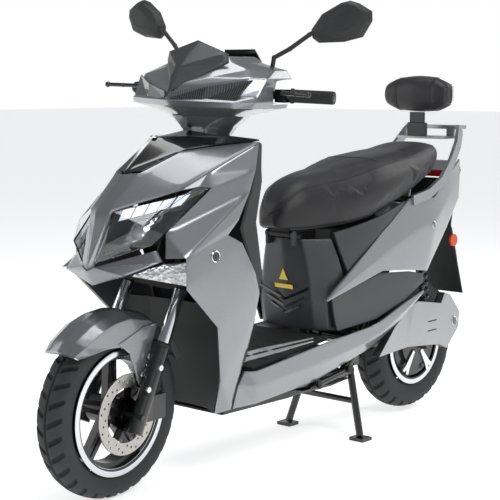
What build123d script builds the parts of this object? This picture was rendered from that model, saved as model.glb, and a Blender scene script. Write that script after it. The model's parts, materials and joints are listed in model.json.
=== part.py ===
from build123d import *
import math
import os

# Electric motor scooter on its centre stand.  Millimetres, +Z up, the scooter faces -Y and its
# left side is +X.  The origin is on the ground, half way between the two axles.

# Driving dimensions -----------------------------------------------------------------------------
WHEELBASE = 1300.0
FRONT_TYRE_R = 229.0
FRONT_TYRE_HALF = 46.0
FRONT_FLANGE_R = 166.0
REAR_TYRE_R = 218.0
REAR_TYRE_HALF = 49.0
REAR_FLANGE_R = 138.0
REAR_LIFT = 12.0
RAKE = 26.0
FORK_OFFSET = 25.0
STEER_REST = 5.0
AXLE_R = 7.5
RUNNING_GAP = 0.05
LEG_X = 92.0
PANEL = 6.0
GUARD_WALL = 4.0

FRONT_AXLE = Vector(0, -WHEELBASE / 2, FRONT_TYRE_R)
REAR_AXLE = Vector(0, WHEELBASE / 2, REAR_TYRE_R + REAR_LIFT)
STEER_DIR = Vector(0, math.sin(math.radians(RAKE)), math.cos(math.radians(RAKE)))
STEER_BACK = Vector(0, math.cos(math.radians(RAKE)), -math.sin(math.radians(RAKE)))
STEER_POINT = FRONT_AXLE + STEER_BACK * FORK_OFFSET
STEER_AXIS = Axis(STEER_POINT, STEER_DIR)
STEER_PLANE = Plane(origin=STEER_POINT, x_dir=(1, 0, 0), z_dir=STEER_DIR)

DISC_R = 106.0
DISC_X = (62.0, 66.0)

SEAT_HINGE = Vector(0, 30, 630)
HINGE_PIN_R = 5.0
CENTRE_STAND_PIVOT = Vector(0, 262, 232)
CENTRE_PIN_R = 8.0
SIDE_STAND_PIVOT = Vector(133, 40, 200)
SIDE_STAND_AXIS = Vector(math.cos(math.radians(18.17)), 0, math.sin(math.radians(18.17)))
SIDE_PIN_R = 6.0
SWINGARM_PIVOT = Vector(0, 300, 290)
FLOOR_SLOPE = 7.1
PLATE_SLOPE = 18.0


# Shape helpers ----------------------------------------------------------------------------------
def polygon(corners):
    return Face(Wire.make_polygon(corners, close=True))


def closed(faces):
    solid = Solid(Shell(faces))
    return solid if solid.volume > 0 else Solid(Shell([-face for face in faces]))


def split(facets):
    """Triangles from each facet's first corner, as corner names."""
    loops = [facet.split() for facet in facets]
    return [(loop[0], b, c) for loop in loops for b, c in zip(loop[1:], loop[2:])]


def thick_panel(points, facets, push):
    """Sheet of flat facets with a real thickness: the facets, their pushed copies and the rim."""
    return pushed(points, split(facets), push)


def mirrored_panel(left, facets, push):
    """Panel across the centre plane from its left half; names with x = 0 are shared."""
    points = dict(left)
    points.update({f"{name}*": (-x, y, z) for name, (x, y, z) in left.items() if x > 0})
    twins = {name: name if left[name][0] == 0 else f"{name}*" for name in left}
    half = split(facets)
    return pushed(points, half + [(twins[c], twins[b], twins[a]) for a, b, c in half], push)


def pushed(points, triangles, push):
    outer = {name: Vector(*xyz) for name, xyz in points.items()}
    inner = {name: xyz + Vector(*push) for name, xyz in outer.items()}
    edges = {edge for a, b, c in triangles for edge in ((a, b), (b, c), (c, a))}
    faces = []
    for a, b, c in triangles:
        faces.append(polygon([outer[a], outer[b], outer[c]]))
        faces.append(polygon([inner[c], inner[b], inner[a]]))
    for a, b in edges:
        if (b, a) not in edges:
            faces.append(polygon([outer[a], inner[a], inner[b], outer[b]]))
    return closed(faces)


def skin(rings):
    """Closed solid through flat rings of corners, with a skin of triangles and a cap at each end."""
    rings = [[Vector(*corner) for corner in ring] for ring in rings]
    count = len(rings[0])
    faces = [polygon(rings[0][::-1]), polygon(rings[-1])]
    for low, high in zip(rings, rings[1:]):
        for i in range(count):
            j = (i + 1) % count
            faces += [polygon([low[i], low[j], high[j]]), polygon([low[i], high[j], high[i]])]
    return closed(faces)


def sheet(rows, push):
    """Open grid of corners made into a sheet of the given push thickness."""
    points = {f"{i}_{j}": xyz for i, row in enumerate(rows) for j, xyz in enumerate(row)}
    facets = []
    for i in range(len(rows) - 1):
        for j in range(len(rows[0]) - 1):
            facets.append(f"{i}_{j} {i}_{j + 1} {i + 1}_{j + 1}")
            facets.append(f"{i}_{j} {i + 1}_{j + 1} {i + 1}_{j}")
    return thick_panel(points, facets, push)


def block(x, y, z):
    """Box from its limits along each axis."""
    centre = [(low + high) / 2 for low, high in (x, y, z)]
    return Pos(*centre) * Box(x[1] - x[0], y[1] - y[0], z[1] - z[0])


def rod(start, end, radius):
    start, end = Vector(*start), Vector(*end)
    return Solid.make_cylinder(radius, (end - start).length, Plane(origin=start, z_dir=end - start))


def pipe(points, radius):
    """Round bar through the points, with a slightly larger ball at each bend."""
    shape = rod(points[0], points[1], radius)
    for a, b in zip(points[1:], points[2:]):
        shape = shape + Pos(*a) * Sphere(radius * 1.15) + rod(a, b, radius)
    return shape


def turned(profile, centre):
    """Solid turned about the X axis from (x, radius) corners, moved to its centre."""
    face = polygon([(x, 0, radius) for x, radius in profile])
    return Pos(*centre) * revolve(face, Axis.X)


def flipped(shape):
    return mirror(shape, about=Plane.YZ)


def both_sides(shape):
    return Compound([*shape.solids(), *flipped(shape).solids()])


def ring_at(z, half):
    """Level ring from its left half, listed from the front centre to the back centre."""
    left = [(x, y, z) for x, y in half]
    return left + [(-x, y, z) for x, y, z in reversed(left) if x > 0]


def wall_ring(z, half, back):
    """Level ring of a wall across the scooter: its outer line, then the same line moved inwards."""
    inner = [(max(x - PANEL, 0), y + back) for x, y in half]
    return ring_at(z, half + inner[::-1])


def trimmed(shape, *neighbours):
    """Biggest piece that is left when the neighbours are cut away."""
    for neighbour in neighbours:
        shape = shape - neighbour
    return max(shape.solids(), key=lambda solid: solid.volume)


def steered(shape):
    return shape.rotate(STEER_AXIS, STEER_REST)


def on_fork(x, back, up):
    """Point given across, behind and along the steering axis."""
    return Vector(x, 0, 0) + STEER_POINT + STEER_BACK * back + STEER_DIR * up


# Wheels -----------------------------------------------------------------------------------------
def tyre(radius, half, flange, centre):
    """Casing with a rounded tread, open towards the rim."""
    bead = flange - 13.0
    outer = [
        (-half * 0.74, bead), (-half * 0.86, flange + 4), (-half, (radius + flange) / 2 + 2),
        (-half * 0.93, radius - 17), (-half * 0.7, radius - 7), (-half * 0.36, radius - 1.5),
        (0, radius),
    ]
    casing = 9.0
    inner = [
        (-half * 0.52, bead), (-half * 0.64, flange + 6), (-half + casing, (radius + flange) / 2),
        (-half * 0.6, radius - 19), (0, radius - 12),
    ]
    left = outer + [(-x, r) for x, r in reversed(outer[:-1])]
    back = [(-x, r) for x, r in inner[:-1]] + [(x, r) for x, r in reversed(inner)]
    return turned(left + back, centre)


def rim_channel(flange, half):
    """Dropped-centre rim, with a lip at each side to hold the tyre's bead."""
    seat = flange - 13.5
    right = [
        (0, seat - 12), (half * 0.36, seat - 12), (half * 0.42, seat), (half * 0.8, seat),
        (half * 0.86, flange), (half * 0.93, flange), (half * 0.93, seat - 5),
        (half * 0.5, seat - 6), (half * 0.44, seat - 18), (0, seat - 18),
    ]
    return right + [(-x, r) for x, r in reversed(right) if x > 0]


def front_rim():
    rim = turned(rim_channel(FRONT_FLANGE_R, FRONT_TYRE_HALF), (0, 0, 0))
    hub = Rot(0, 90, 0) * Cylinder(36, 96)
    rim = rim + hub
    for i in range(5):
        for side in (-1, 1):
            spoke = block((-11, 11), (side * 13 - 6, side * 13 + 6), (30, FRONT_FLANGE_R - 28))
            rim = rim + Rot(i * 72 + side * 2, 0, 0) * spoke
    rim = rim - Rot(0, 90, 0) * Cylinder(AXLE_R + RUNNING_GAP, 120)
    return Pos(*FRONT_AXLE) * rim


def brake_disc():
    x_mid = sum(DISC_X) / 2
    disc = Pos(x_mid, 0, 0) * Rot(0, 90, 0) * (Cylinder(DISC_R, 4) - Cylinder(74, 5))
    carrier = turned([(48.2, 24), (48.2, 44), (60, 44), (60, 36), (65, 36), (65, 24)], (0, 0, 0))
    for i in range(5):
        carrier = carrier + Rot(i * 72, 0, 0) * block((61.5, 65.5), (-11, 11), (34, 80))
    holes = []
    for i in range(36):
        ring_r = (82, 90, 98)[i % 3]
        holes.append(Rot(i * 10, 0, 0) * Pos(x_mid, 0, ring_r) * Rot(0, 90, 0) * Cylinder(3, 10))
    return Pos(*FRONT_AXLE) * (disc - holes + carrier)


def rear_hub():
    """Hub motor with its own rim: a drum, side covers and the tyre's flanges."""
    rim = turned(rim_channel(REAR_FLANGE_R, REAR_TYRE_HALF), (0, 0, 0))
    drum = Rot(0, 90, 0) * Cylinder(REAR_FLANGE_R - 28, 84)
    cover = Rot(0, 90, 0) * Cylinder(78, 104)
    boss = Rot(0, 90, 0) * Cylinder(30, 114)
    bore = Rot(0, 90, 0) * Cylinder(AXLE_R + RUNNING_GAP, 140)
    return Pos(*REAR_AXLE) * (rim + drum + cover + boss - bore)


# Fork and front mudguard ------------------------------------------------------------------------
def fork():
    """Telescopic legs, lower yoke, steerer, caliper lug and front axle as one steered piece."""
    shape = rod(on_fork(0, 0, 360), on_fork(0, 0, 836), 17)
    arms = block((-112, 112), (-29, 9), (352, 384)) + block((-40, 40), (-34, 22), (352, 384))
    shape = shape + STEER_PLANE.location * arms
    for side in (-1, 1):
        x = side * LEG_X
        shape = shape + rod(on_fork(x, -10, -42), on_fork(x, -10, 196), 22)
        shape = shape + rod(on_fork(x, -10, 190), on_fork(x, -10, 384), 16)
    shape = shape + Pos(*FRONT_AXLE) * block((78, 102), (14, 56), (-20, 36))
    return shape + rod(FRONT_AXLE - Vector(120, 0, 0), FRONT_AXLE + Vector(120, 0, 0), AXLE_R)


def brake_caliper():
    """Body that straddles the disc, bolted to the lug behind the left leg."""
    body = block((53, 90), (56, 120), (-26, 40))
    slot = block((DISC_X[0] - 2.7, DISC_X[1] + 2.7), (50, 111), (-40, 60))
    leg = rod(on_fork(LEG_X, -10, -42), on_fork(LEG_X, -10, 196), 22.5)
    return trimmed(Pos(*FRONT_AXLE) * (body - slot), leg)


def brake_hose():
    """Hose clipped behind the left leg, from the caliper up to the yoke."""
    return pipe([(84, -560, 273), (88, -546, 330), (88, -518, 400), (80, -482, 470),
                 (58, -464, 522)], 4)


def front_mudguard():
    """Arched guard over the tyre, with a cheek on each side ahead of the fork leg."""
    stations = [
        (-46, [(0, 262), (30, 258), (50, 250), (57, 242)]),
        (-38, [(0, 265), (36, 260), (60, 247), (66, 222)]),
        (-23, [(0, 266), (38, 261), (65, 247), (67, 198)]),
        (-12, [(0, 267), (38, 262), (65, 247), (67, 184)]),
        (2, [(0, 267), (38, 262), (64, 247), (66, 180)]),
        (20, [(0, 266), (38, 261), (63, 246), (65, 204)]),
        (45, [(0, 264), (36, 259), (60, 246), (61, 226)]),
        (62, [(0, 262), (34, 257), (56, 246), (57, 232)]),
    ]
    rings = []
    for angle, section in stations:
        a = math.radians(angle)
        inner = [(max(x - GUARD_WALL, 0), r - GUARD_WALL) for x, r in section[:-1]]
        inner.append((section[-1][0] - GUARD_WALL, section[-1][1]))
        half = section + inner[::-1]
        loop = half + [(-x, r) for x, r in reversed(half) if x > 0]
        rings.append([
            FRONT_AXLE + Vector(x, r * math.sin(a), r * math.cos(a)) for x, r in loop
        ])
    cheek = {
        "front": (68.5, -40, 188), "notch": (69.5, 4, 158), "edge": (71.5, 8, 138),
        "tip": (76, 33, 72), "tip_back": (76, 37, 80), "back": (69.5, 108, 224),
        "top": (68, 60, 222),
    }
    facets = [
        "top front notch", "top notch edge", "top edge tip", "top tip tip_back", "top tip_back back",
    ]
    left = Pos(*FRONT_AXLE) * thick_panel(cheek, facets, (-4, 0, 0))
    return skin(rings) + left + flipped(left)


# Steering head ----------------------------------------------------------------------------------
BAR_CENTRE = (0, -236.5, 1038.5)
BAR_BEND = (160, -236.5, 1038.5)
GRIP_START = (232, -215, 1038)
GRIP_END = (345, -181, 1037)


def handlebar():
    """Steel bar, kinked back to the grips, on a clamp at the top of the steerer."""
    half = [BAR_BEND, GRIP_END]
    bar = pipe([(-x, y, z) for x, y, z in reversed(half)] + half, 11)
    clamp = rod(on_fork(0, 0, 838), Vector(*BAR_CENTRE) + STEER_DIR * 6, 22)
    return bar + clamp


def grips():
    return both_sides(rod(GRIP_START, GRIP_END, 17.5) - rod(GRIP_START, GRIP_END, 11.3))


def brake_levers():
    """Lever blade ahead of each grip, with its perch round the bar."""
    perch = block((196, 226), (-240, -202), (1020, 1054)) - rod(BAR_BEND, GRIP_START, 11.3)
    perch = trimmed(perch, rod(GRIP_START, GRIP_END, 11.3))
    blade = pipe([(214, -236, 1044), (240, -266, 1046), (300, -289, 1046), (344, -301, 1046)], 5.5)
    return both_sides(perch + blade + Pos(346, -302, 1046) * Sphere(8))


def handlebar_cowl():
    """Cowl round the bar's centre: narrow at the neck, wide at the lamps, open at each side."""
    rings = [
        (925, [(0, -336), (34, -326), (58, -300), (64, -268), (48, -228), (24, -212), (0, -208)]),
        (948, [(0, -352), (42, -340), (72, -310), (80, -268), (60, -218), (30, -198), (0, -192)]),
        (978, [(0, -376), (58, -358), (104, -322), (124, -276), (96, -206), (48, -182), (0, -176)]),
        (1004, [(0, -436), (80, -414), (168, -378), (204, -350), (202, -196), (100, -172),
                (0, -164)]),
        (1020, [(0, -452), (84, -428), (172, -388), (210, -344), (206, -188), (104, -164),
                (0, -156)]),
        (1034, [(0, -440), (84, -410), (170, -366), (208, -330), (206, -186), (104, -158),
                (0, -150)]),
        (1060, [(0, -425), (84, -395), (176, -350), (210, -312), (206, -182), (104, -150),
                (0, -142)]),
        (1082, [(0, -392), (84, -374), (176, -336), (212, -296), (204, -178), (104, -142),
                (0, -134)]),
        (1104, [(0, -366), (84, -344), (150, -300), (192, -240), (192, -186), (104, -136),
                (0, -128)]),
        (1122, [(0, -350), (60, -334), (96, -306), (116, -262), (116, -196), (60, -134),
                (0, -126)]),
        (1136, [(0, -330), (48, -314), (80, -292), (92, -256), (92, -196), (48, -140),
                (0, -132)]),
    ]
    return trimmed(skin([ring_at(z, half) for z, half in rings]), room_for_bar())


def room_for_bar():
    """Space in the cowl for the bar, its clamp and the perch of each lever."""
    clamp = rod(on_fork(0, 0, 730), Vector(*BAR_CENTRE) + STEER_DIR * 14, 28)
    side = block((140, 260), (-262, -120), (1014, 1080))
    return rod((-150, -236, 1036), (150, -236, 1036), 20) + clamp + side + flipped(side)


def visor():
    left = {
        "apex": (0, -325, 1176), "ridge_high": (0, -373, 1138), "ridge_mid": (0, -410, 1105),
        "ridge_low": (0, -435, 1072), "tip": (0, -443, 1039), "side_high": (100, -324, 1144),
        "side_low": (104, -326, 1122),
    }
    facets = [
        "tip side_low ridge_low", "ridge_low side_low ridge_mid",
        "ridge_mid side_low side_high ridge_high", "ridge_high side_high apex",
    ]
    return trimmed(mirrored_panel(left, facets, (0, 5, -3)), handlebar_cowl())


def position_lamp():
    left = {
        "in_low": (8, -450, 1026), "in_high": (8, -448, 1042), "high": (100, -405, 1058),
        "tip": (192, -335, 1078), "out_low": (172, -380, 1026), "low": (90, -420, 1020),
    }
    panel = thick_panel(left, ["in_low low high in_high", "low out_low tip high"], (0, 6, 0))
    cowl, peak = handlebar_cowl(), visor()
    return Compound([trimmed(side, cowl, peak) for side in (panel, flipped(panel))])


MIRROR_CENTRE = Vector(342, -141, 1232)
MIRROR_YAW = 13.0
MIRROR_OUTLINE = [
    (-90, -20), (-86, -42), (-68, -54), (0, -50), (52, -36), (76, 6), (74, 30), (38, 50),
    (15, 56), (-10, 50), (-62, 20),
]


def mirror_left():
    """Stalk and housing of the left mirror, its outboard edge swept back."""
    across = Vector(math.cos(math.radians(MIRROR_YAW)), math.sin(math.radians(MIRROR_YAW)), 0)
    ahead = Vector(across.Y, -across.X, 0)
    rings = []
    for size, depth in ((1.0, 0), (1.0, 8), (0.86, 22), (0.5, 32)):
        rings.append([
            MIRROR_CENTRE + ahead * depth + across * (a * size) + Vector(0, 0, b * size)
            for a, b in MIRROR_OUTLINE
        ])
    stalk = pipe([(160, -208, 1104), (164, -205, 1136), (200, -185, 1160), (252, -172, 1198),
                  (280, -168, 1214)], 6)
    return trimmed(skin(rings) + stalk, handlebar_cowl())


# Frame and what it carries ----------------------------------------------------------------------
def frame():
    """Welded tube frame with its head tube, pivots, stand pins and the lugs of the dampers."""
    shape = rod(on_fork(0, 0, 410), on_fork(0, 0, 610), 27)
    shape = shape + pipe([on_fork(0, 22, 470), (0, -318, 360), (0, -292, 215)], 19)
    shape = shape + rod((-100, -285, 205), (100, -285, 205), 15)
    for side in (-1, 1):
        rail = [(-100, -285, 205), (-100, 200, 205), (-108, 275, 300), (-112, 360, 560),
                (-98, 640, 690)]
        shape = shape + pipe([(side * x, y, z) for x, y, z in rail], 15)
        shape = shape + rod((side * 100, 585, 664), (side * 82, 602, 610), 10)
        shape = shape + block(sorted((side * 96, side * 104)), (250, 274), (220, 282))
    shape = shape + rod((-100, 200, 205), (100, 200, 205), 13)
    shape = shape + rod((-98, 640, 690), (98, 640, 690), 13)
    pivot = SWINGARM_PIVOT
    shape = shape + rod(pivot - Vector(108, 0, 0), pivot + Vector(108, 0, 0), 16)
    stand = CENTRE_STAND_PIVOT
    shape = shape + rod(stand - Vector(104, 0, 0), stand + Vector(104, 0, 0), CENTRE_PIN_R)
    shape = shape + side_stand_pin()
    return shape - rod(on_fork(0, 0, 400), on_fork(0, 0, 620), 17 + RUNNING_GAP)


def side_stand_pin():
    """Bracket on the left rail, with the pin that the side stand turns on."""
    centre, along = SIDE_STAND_PIVOT, SIDE_STAND_AXIS
    pin = rod(centre - along * 20, centre + along * 11, SIDE_PIN_R)
    return pin + rod(centre + along * 9, centre + along * 12, 9) + block(
        (106, 118), (28, 52), (188, 212))


def battery_pack():
    return block((-80, 80), (-250, 180), (192, 284))


def swingarm():
    """Two arms from the frame's pivot to the rear axle, with the axle as their tie."""
    shape = rod(REAR_AXLE - Vector(98, 0, 0), REAR_AXLE + Vector(98, 0, 0), AXLE_R)
    for side in (-1, 1):
        low, high = sorted((side * 58, side * 78))
        arm = skin([
            [(low, 300, 268), (high, 300, 268), (high, 300, 312), (low, 300, 312)],
            [(low, 650, 208), (high, 650, 208), (high, 650, 254), (low, 650, 254)],
        ])
        eye = rod((side * 56, 300, 290), (side * 80, 300, 290), 24)
        boss = rod((side * 58, 650, 230), (side * 102, 650, 230), 20)
        lug = block(sorted((side * 62, side * 100)), (638, 662), (240, 286))
        shape = shape + arm + eye + boss + lug
    return shape - rod((-90, 300, 290), (90, 300, 290), 16.5)


def motor_covers():
    left = {
        "nose": (150, 314, 242), "shoulder": (152, 394, 326), "crest": (146, 481, 376),
        "top": (140, 528, 386), "dip": (136, 662, 364), "rear_top": (134, 685, 396),
        "rear_crest": (134, 716, 386), "tail_top": (132, 773, 326), "tail": (132, 770, 274),
        "heel": (134, 701, 213), "low": (136, 652, 232), "belly": (146, 466, 251),
    }
    facets = [
        "nose belly shoulder", "belly crest shoulder", "belly top crest", "belly low dip top",
        "low heel dip", "heel tail dip", "tail tail_top dip", "tail_top rear_crest dip",
        "rear_crest rear_top dip",
    ]
    return both_sides(trimmed(thick_panel(left, facets, (-28, 0, 0)), floor_skirt_left()))


def rear_shocks():
    return both_sides(rod((82, 650, 290), (82, 603, 596), 20))


def centre_stand():
    """Two splayed legs on a cross tube, with feet; it holds the rear wheel off the ground."""
    pivot = CENTRE_STAND_PIVOT
    shape = rod(pivot - Vector(92, 0, 0), pivot + Vector(92, 0, 0), 13)
    for side in (-1, 1):
        shape = shape + pipe([(side * 74, pivot.Y, pivot.Z), (side * 140, pivot.Y - 26, 12)], 11)
        shape = shape + block(sorted((side * 118, side * 168)), (pivot.Y - 50, pivot.Y - 4), (0, 10))
    shape = shape + rod((-104, pivot.Y - 14, 112), (104, pivot.Y - 14, 112), 9)
    return shape - rod(pivot - Vector(110, 0, 0), pivot + Vector(110, 0, 0),
                       CENTRE_PIN_R + RUNNING_GAP)


def side_stand():
    """Folded leg: an eye on the frame's pin, a bar along the floor's edge and a foot."""
    centre, along = SIDE_STAND_PIVOT, SIDE_STAND_AXIS
    lie = Vector(-6.5, 155, 19.8).normalized()
    eye = rod(centre - along * 7, centre + along * 7, 14)
    leg = rod(centre + lie * 8, centre + lie * 158, 9)
    foot = rod(centre + lie * 150 - along * 6, centre + lie * 150 + along * 16, 13)
    return eye + leg + foot - rod(centre - along * 20, centre + along * 20, SIDE_PIN_R + RUNNING_GAP)


# Nose and wings ---------------------------------------------------------------------------------
WING = {
    "line": (132, -516, 792), "line_back": (156, -440, 832), "corner": (204, -296, 908),
    "rear_1": (210, -315, 840), "rear_2": (212, -340, 785), "rear_3": (215, -386, 715),
    "notch": (210, -421, 678), "rear_4": (215, -373, 654), "rear_5": (215, -321, 571),
    "rear_6": (208, -297, 513), "rear_7": (190, -299, 432), "rear_8": (165, -314, 323),
    "foot": (152, -350, 200), "toe": (140, -396, 194), "arch_1": (180, -418, 293),
    "arch_2": (205, -455, 442), "arch_3": (210, -572, 553), "ridge": (207, -570, 632),
    "lamp_low": (165, -600, 630), "lamp_side": (146, -580, 690), "lamp_tip": (174, -442, 798),
    "lamp_top": (163, -478, 802),
}


def front_wing_left():
    facets = [
        "line lamp_top line_back", "line_back lamp_top lamp_tip", "line_back lamp_tip rear_1 corner",
        "lamp_tip rear_2 rear_1", "lamp_tip lamp_side rear_2", "lamp_side ridge rear_2",
        "lamp_side lamp_low ridge", "ridge rear_3 rear_2", "ridge notch rear_3",
        "ridge rear_4 notch", "ridge arch_3 rear_4", "arch_3 rear_5 rear_4",
        "arch_3 arch_2 rear_5", "arch_2 rear_6 rear_5", "arch_2 rear_7 rear_6",
        "arch_2 arch_1 rear_7", "arch_1 rear_8 rear_7", "arch_1 toe foot rear_8",
    ]
    return thick_panel(WING, facets, (-PANEL, PANEL * 0.6, 0))


def nose_panel():
    """Bonnet over the headlamps, with the narrow ridge that runs down between them."""
    left = {
        "low": (0, -717, 602), "low_side": (20, -714, 610), "tip": (0, -683, 742),
        "tip_side": (36, -666, 748), "crest": (0, -590, 832), "mid": (45, -572, 836),
        "line": (130, -520, 797), "back": (110, -396, 897), "line_back": (154, -444, 838),
        "cover": (80, -455, 888), "corner": (202, -300, 912),
    }
    facets = [
        "low low_side tip_side tip", "tip tip_side mid crest", "tip_side line mid",
        "mid line cover", "line line_back cover", "line_back back cover", "line_back corner back",
    ]
    whole = mirrored_panel(left, facets, (0, PANEL * 0.8, -PANEL * 0.8))
    return trimmed(whole, front_wing_left(), flipped(front_wing_left()))


def top_cover():
    left = {
        "front": (0, -582, 838), "mid": (45, -564, 842), "cover": (80, -446, 894),
        "back": (110, -388, 903), "corner": (200, -292, 918), "rear_side": (120, -318, 926),
        "rear": (0, -362, 940), "centre": (0, -479, 924),
    }
    facets = [
        "front mid cover centre", "centre cover back rear_side rear", "back corner rear_side",
    ]
    return mirrored_panel(left, facets, (0, PANEL * 0.5, -PANEL * 0.8))


def headlamp_lens():
    left = {
        "top_in": (36, -660, 745), "low_in": (22, -712, 616), "low_out": (134, -618, 662),
        "side": (144, -588, 688), "tip": (172, -452, 798), "upper": (160, -488, 800),
        "top": (128, -538, 774), "bulge_in": (60, -706, 668), "bulge_out": (118, -634, 712),
    }
    facets = [
        "low_in bulge_in top_in", "low_in low_out bulge_in", "bulge_in low_out bulge_out",
        "top_in bulge_in bulge_out top", "low_out side bulge_out", "bulge_out side tip upper",
        "bulge_out upper top",
    ]
    return trimmed(thick_panel(left, facets, (-2.5, 4, -1)), nose_panel(), front_wing_left())


def headlamp_housing():
    left = {
        "top_in": (34, -646, 742), "low_in": (20, -698, 618), "low_out": (128, -602, 662),
        "side": (138, -574, 690), "tip": (164, -446, 792), "top": (122, -526, 768),
    }
    facets = ["low_in low_out side tip top top_in"]
    return both_sides(thick_panel(left, facets, (-34, 52, 0)))


def nose_lip():
    left = {
        "top": (0, -716, 596), "top_in": (22, -712, 606), "top_out": (134, -606, 648),
        "low": (0, -698, 558), "low_in": (110, -690, 590), "low_out": (158, -610, 622),
    }
    facets = ["top low low_in top_in", "top_in low_in low_out top_out"]
    return mirrored_panel(left, facets, (0, PANEL, 0))


def front_indicator():
    left = {
        "in": (130, -686, 592), "top": (160, -606, 616), "out_top": (200, -566, 620),
        "out": (225, -536, 596), "low": (214, -562, 560),
    }
    return trimmed(thick_panel(left, ["in low out out_top top"], (-14, 20, 0)), front_wing_left(),
                   nose_lip())


def leg_shield():
    """Inner panel that closes the back of the nose, from the dash to the floor."""
    rings = [
        (905, [(0, -178), (120, -196), (190, -268), (196, -286)]),
        (800, [(0, -176), (120, -188), (192, -274), (202, -314)]),
        (690, [(0, -196), (120, -212), (196, -300), (205, -360)]),
        (560, [(0, -226), (120, -236), (196, -272), (205, -312)]),
        (430, [(0, -256), (120, -262), (174, -278), (180, -296)]),
        (322, [(0, -276), (120, -280), (150, -288), (156, -306)]),
    ]
    return skin([wall_ring(z, half, -PANEL) for z, half in rings])


def inner_mudguard():
    """Black panel behind the front wheel, closing the body between the wings."""
    rings = [
        (196, [(0, -360), (74, -366), (132, -394)]), (300, [(0, -366), (94, -374), (168, -404)]),
        (440, [(0, -384), (108, -390), (192, -412)]), (485, [(0, -392), (110, -398), (194, -420)]),
    ]
    return skin([wall_ring(z, half, PANEL) for z, half in rings])


# Floor ------------------------------------------------------------------------------------------
def floorboard():
    """Flat footboard that rises gently to the rear."""
    return Pos(0, -100, 320.2) * Rot(FLOOR_SLOPE, 0, 0) * Pos(0, 0, -5) * Box(300, 326.5, 10)


def floor_skirt_left():
    rows = [
        [(158, -300, 296), (162, -330, 262), (151, -340, 200)],
        [(168, -262, 292), (170, -262, 250), (146, -240, 196)],
        [(170, 51, 330), (172, 51, 275), (138, 20, 214)],
        [(166, 279, 348), (168, 279, 310), (142, 290, 276)],
        [(156, 430, 392), (158, 430, 366), (148, 430, 342)],
        [(150, 542, 421), (151, 542, 417), (150, 542, 413)],
    ]
    return sheet(rows, (-PANEL, 0, 0))


def belly_pan():
    """Shallow tray under the battery, narrower where the side stand folds."""
    rings = []
    for y, low, half, rise in ((-336, 174, 128, 26), (-60, 174, 128, 26), (0, 172, 114, 14),
                               (150, 172, 114, 14), (236, 177, 106, 10)):
        rings.append([
            (-half, y, low + rise), (-half + 20, y, low), (half - 20, y, low),
            (half, y, low + rise), (half - 6, y, low + rise), (half - 24, y, low + 6),
            (-half + 24, y, low + 6), (-half + 6, y, low + rise),
        ])
    return skin(rings)


# Seat base and tail -----------------------------------------------------------------------------
def seat_box():
    """Dark panel under the seat's nose, facing the rider's shins, with the seat's hinge ears."""
    rings = [
        (350, [(0, 64), (90, 72), (124, 96), (138, 150), (138, 240)]),
        (430, [(0, 48), (94, 58), (130, 86), (138, 140), (138, 230)]),
        (500, [(0, 42), (88, 56), (124, 90), (138, 128), (140, 150)]),
        (560, [(0, 38), (80, 52), (114, 88), (132, 114), (138, 126)]),
        (616, [(0, 31), (66, 44), (98, 84), (116, 106), (122, 112)]),
    ]
    shape = skin([wall_ring(z, half, PANEL) for z, half in rings])
    for side in (-1, 1):
        low, high = sorted((side * 44, side * 52))
        shape = shape + block((low, high), (23, 60), (598, 626))
        shape = shape + rod((low, 30, SEAT_HINGE.Z), (high, 30, SEAT_HINGE.Z), 10)
    return shape + rod((-50, 30, SEAT_HINGE.Z), (50, 30, SEAT_HINGE.Z), HINGE_PIN_R)


def storage_bucket():
    outer = skin([
        rounded_ring(400, 118, 440, 82, 30), rounded_ring(640, 122, 560, 86, 30),
    ])
    inner = skin([
        rounded_ring(404, 122, 436, 78, 26), rounded_ring(641, 126, 556, 82, 26),
    ])
    return outer - inner


def rounded_ring(z, y_low, y_high, half, corner):
    return [
        (-half + corner, y_low, z), (half - corner, y_low, z), (half, y_low + corner, z),
        (half, y_high - corner, z), (half - corner, y_high, z), (-half + corner, y_high, z),
        (-half, y_high - corner, z), (-half, y_low + corner, z),
    ]


def tail_panel_left():
    rows = [
        [(160, 48, 450), (161, 48, 447), (160, 48, 444)],
        [(152, 318, 617), (160, 290, 545), (156, 318, 505)],
        [(147, 464, 712), (159, 485, 624), (148, 480, 492)],
        [(146, 598, 706), (154, 600, 640), (140, 573, 478)],
        [(121, 723, 776), (124, 730, 716), (120, 690, 580)],
        [(92, 819, 816), (98, 812, 760), (96, 812, 690)],
    ]
    return sheet(rows, (-PANEL, 0, 0))


def tail_panels():
    """Both tail sides and the panel between them behind the seat."""
    top = skin([
        [(-108, 712, 782), (108, 712, 782), (108, 712, 786), (-108, 712, 786)],
        [(-80, 814, 808), (80, 814, 808), (80, 814, 812), (-80, 814, 812)],
    ])
    return Compound([*both_sides(tail_panel_left()).solids(), top])


def side_panels():
    """Dark panels under the seat's edge, and between the tail's lower edge and the skirt."""
    upper = sheet([
        [(128, 118, 634), (140, 134, 576), (150, 156, 520)],
        [(138, 190, 645), (145, 196, 600), (149, 205, 551)],
        [(149, 300, 666), (150, 300, 640), (150, 300, 609)],
        [(150, 380, 689), (150, 380, 676), (149, 380, 661)],
        [(146, 440, 706), (146.5, 440, 703), (147, 440, 699)],
    ], (-PANEL, 0, 0))
    lower = sheet([
        [(154, 78, 452), (152, 90, 400), (150, 110, 350)],
        [(150, 318, 498), (152, 300, 430), (150, 300, 362)],
        [(142, 480, 486), (146, 470, 440), (146, 450, 402)],
        [(134, 560, 470), (136, 560, 456), (136, 550, 440)],
    ], (-PANEL, 0, 0))
    neighbours = [tail_panel_left(), floor_skirt_left(), seat_box()]
    left = Compound([trimmed(upper, *neighbours), trimmed(lower, *neighbours)])
    return both_sides(left)


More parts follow.
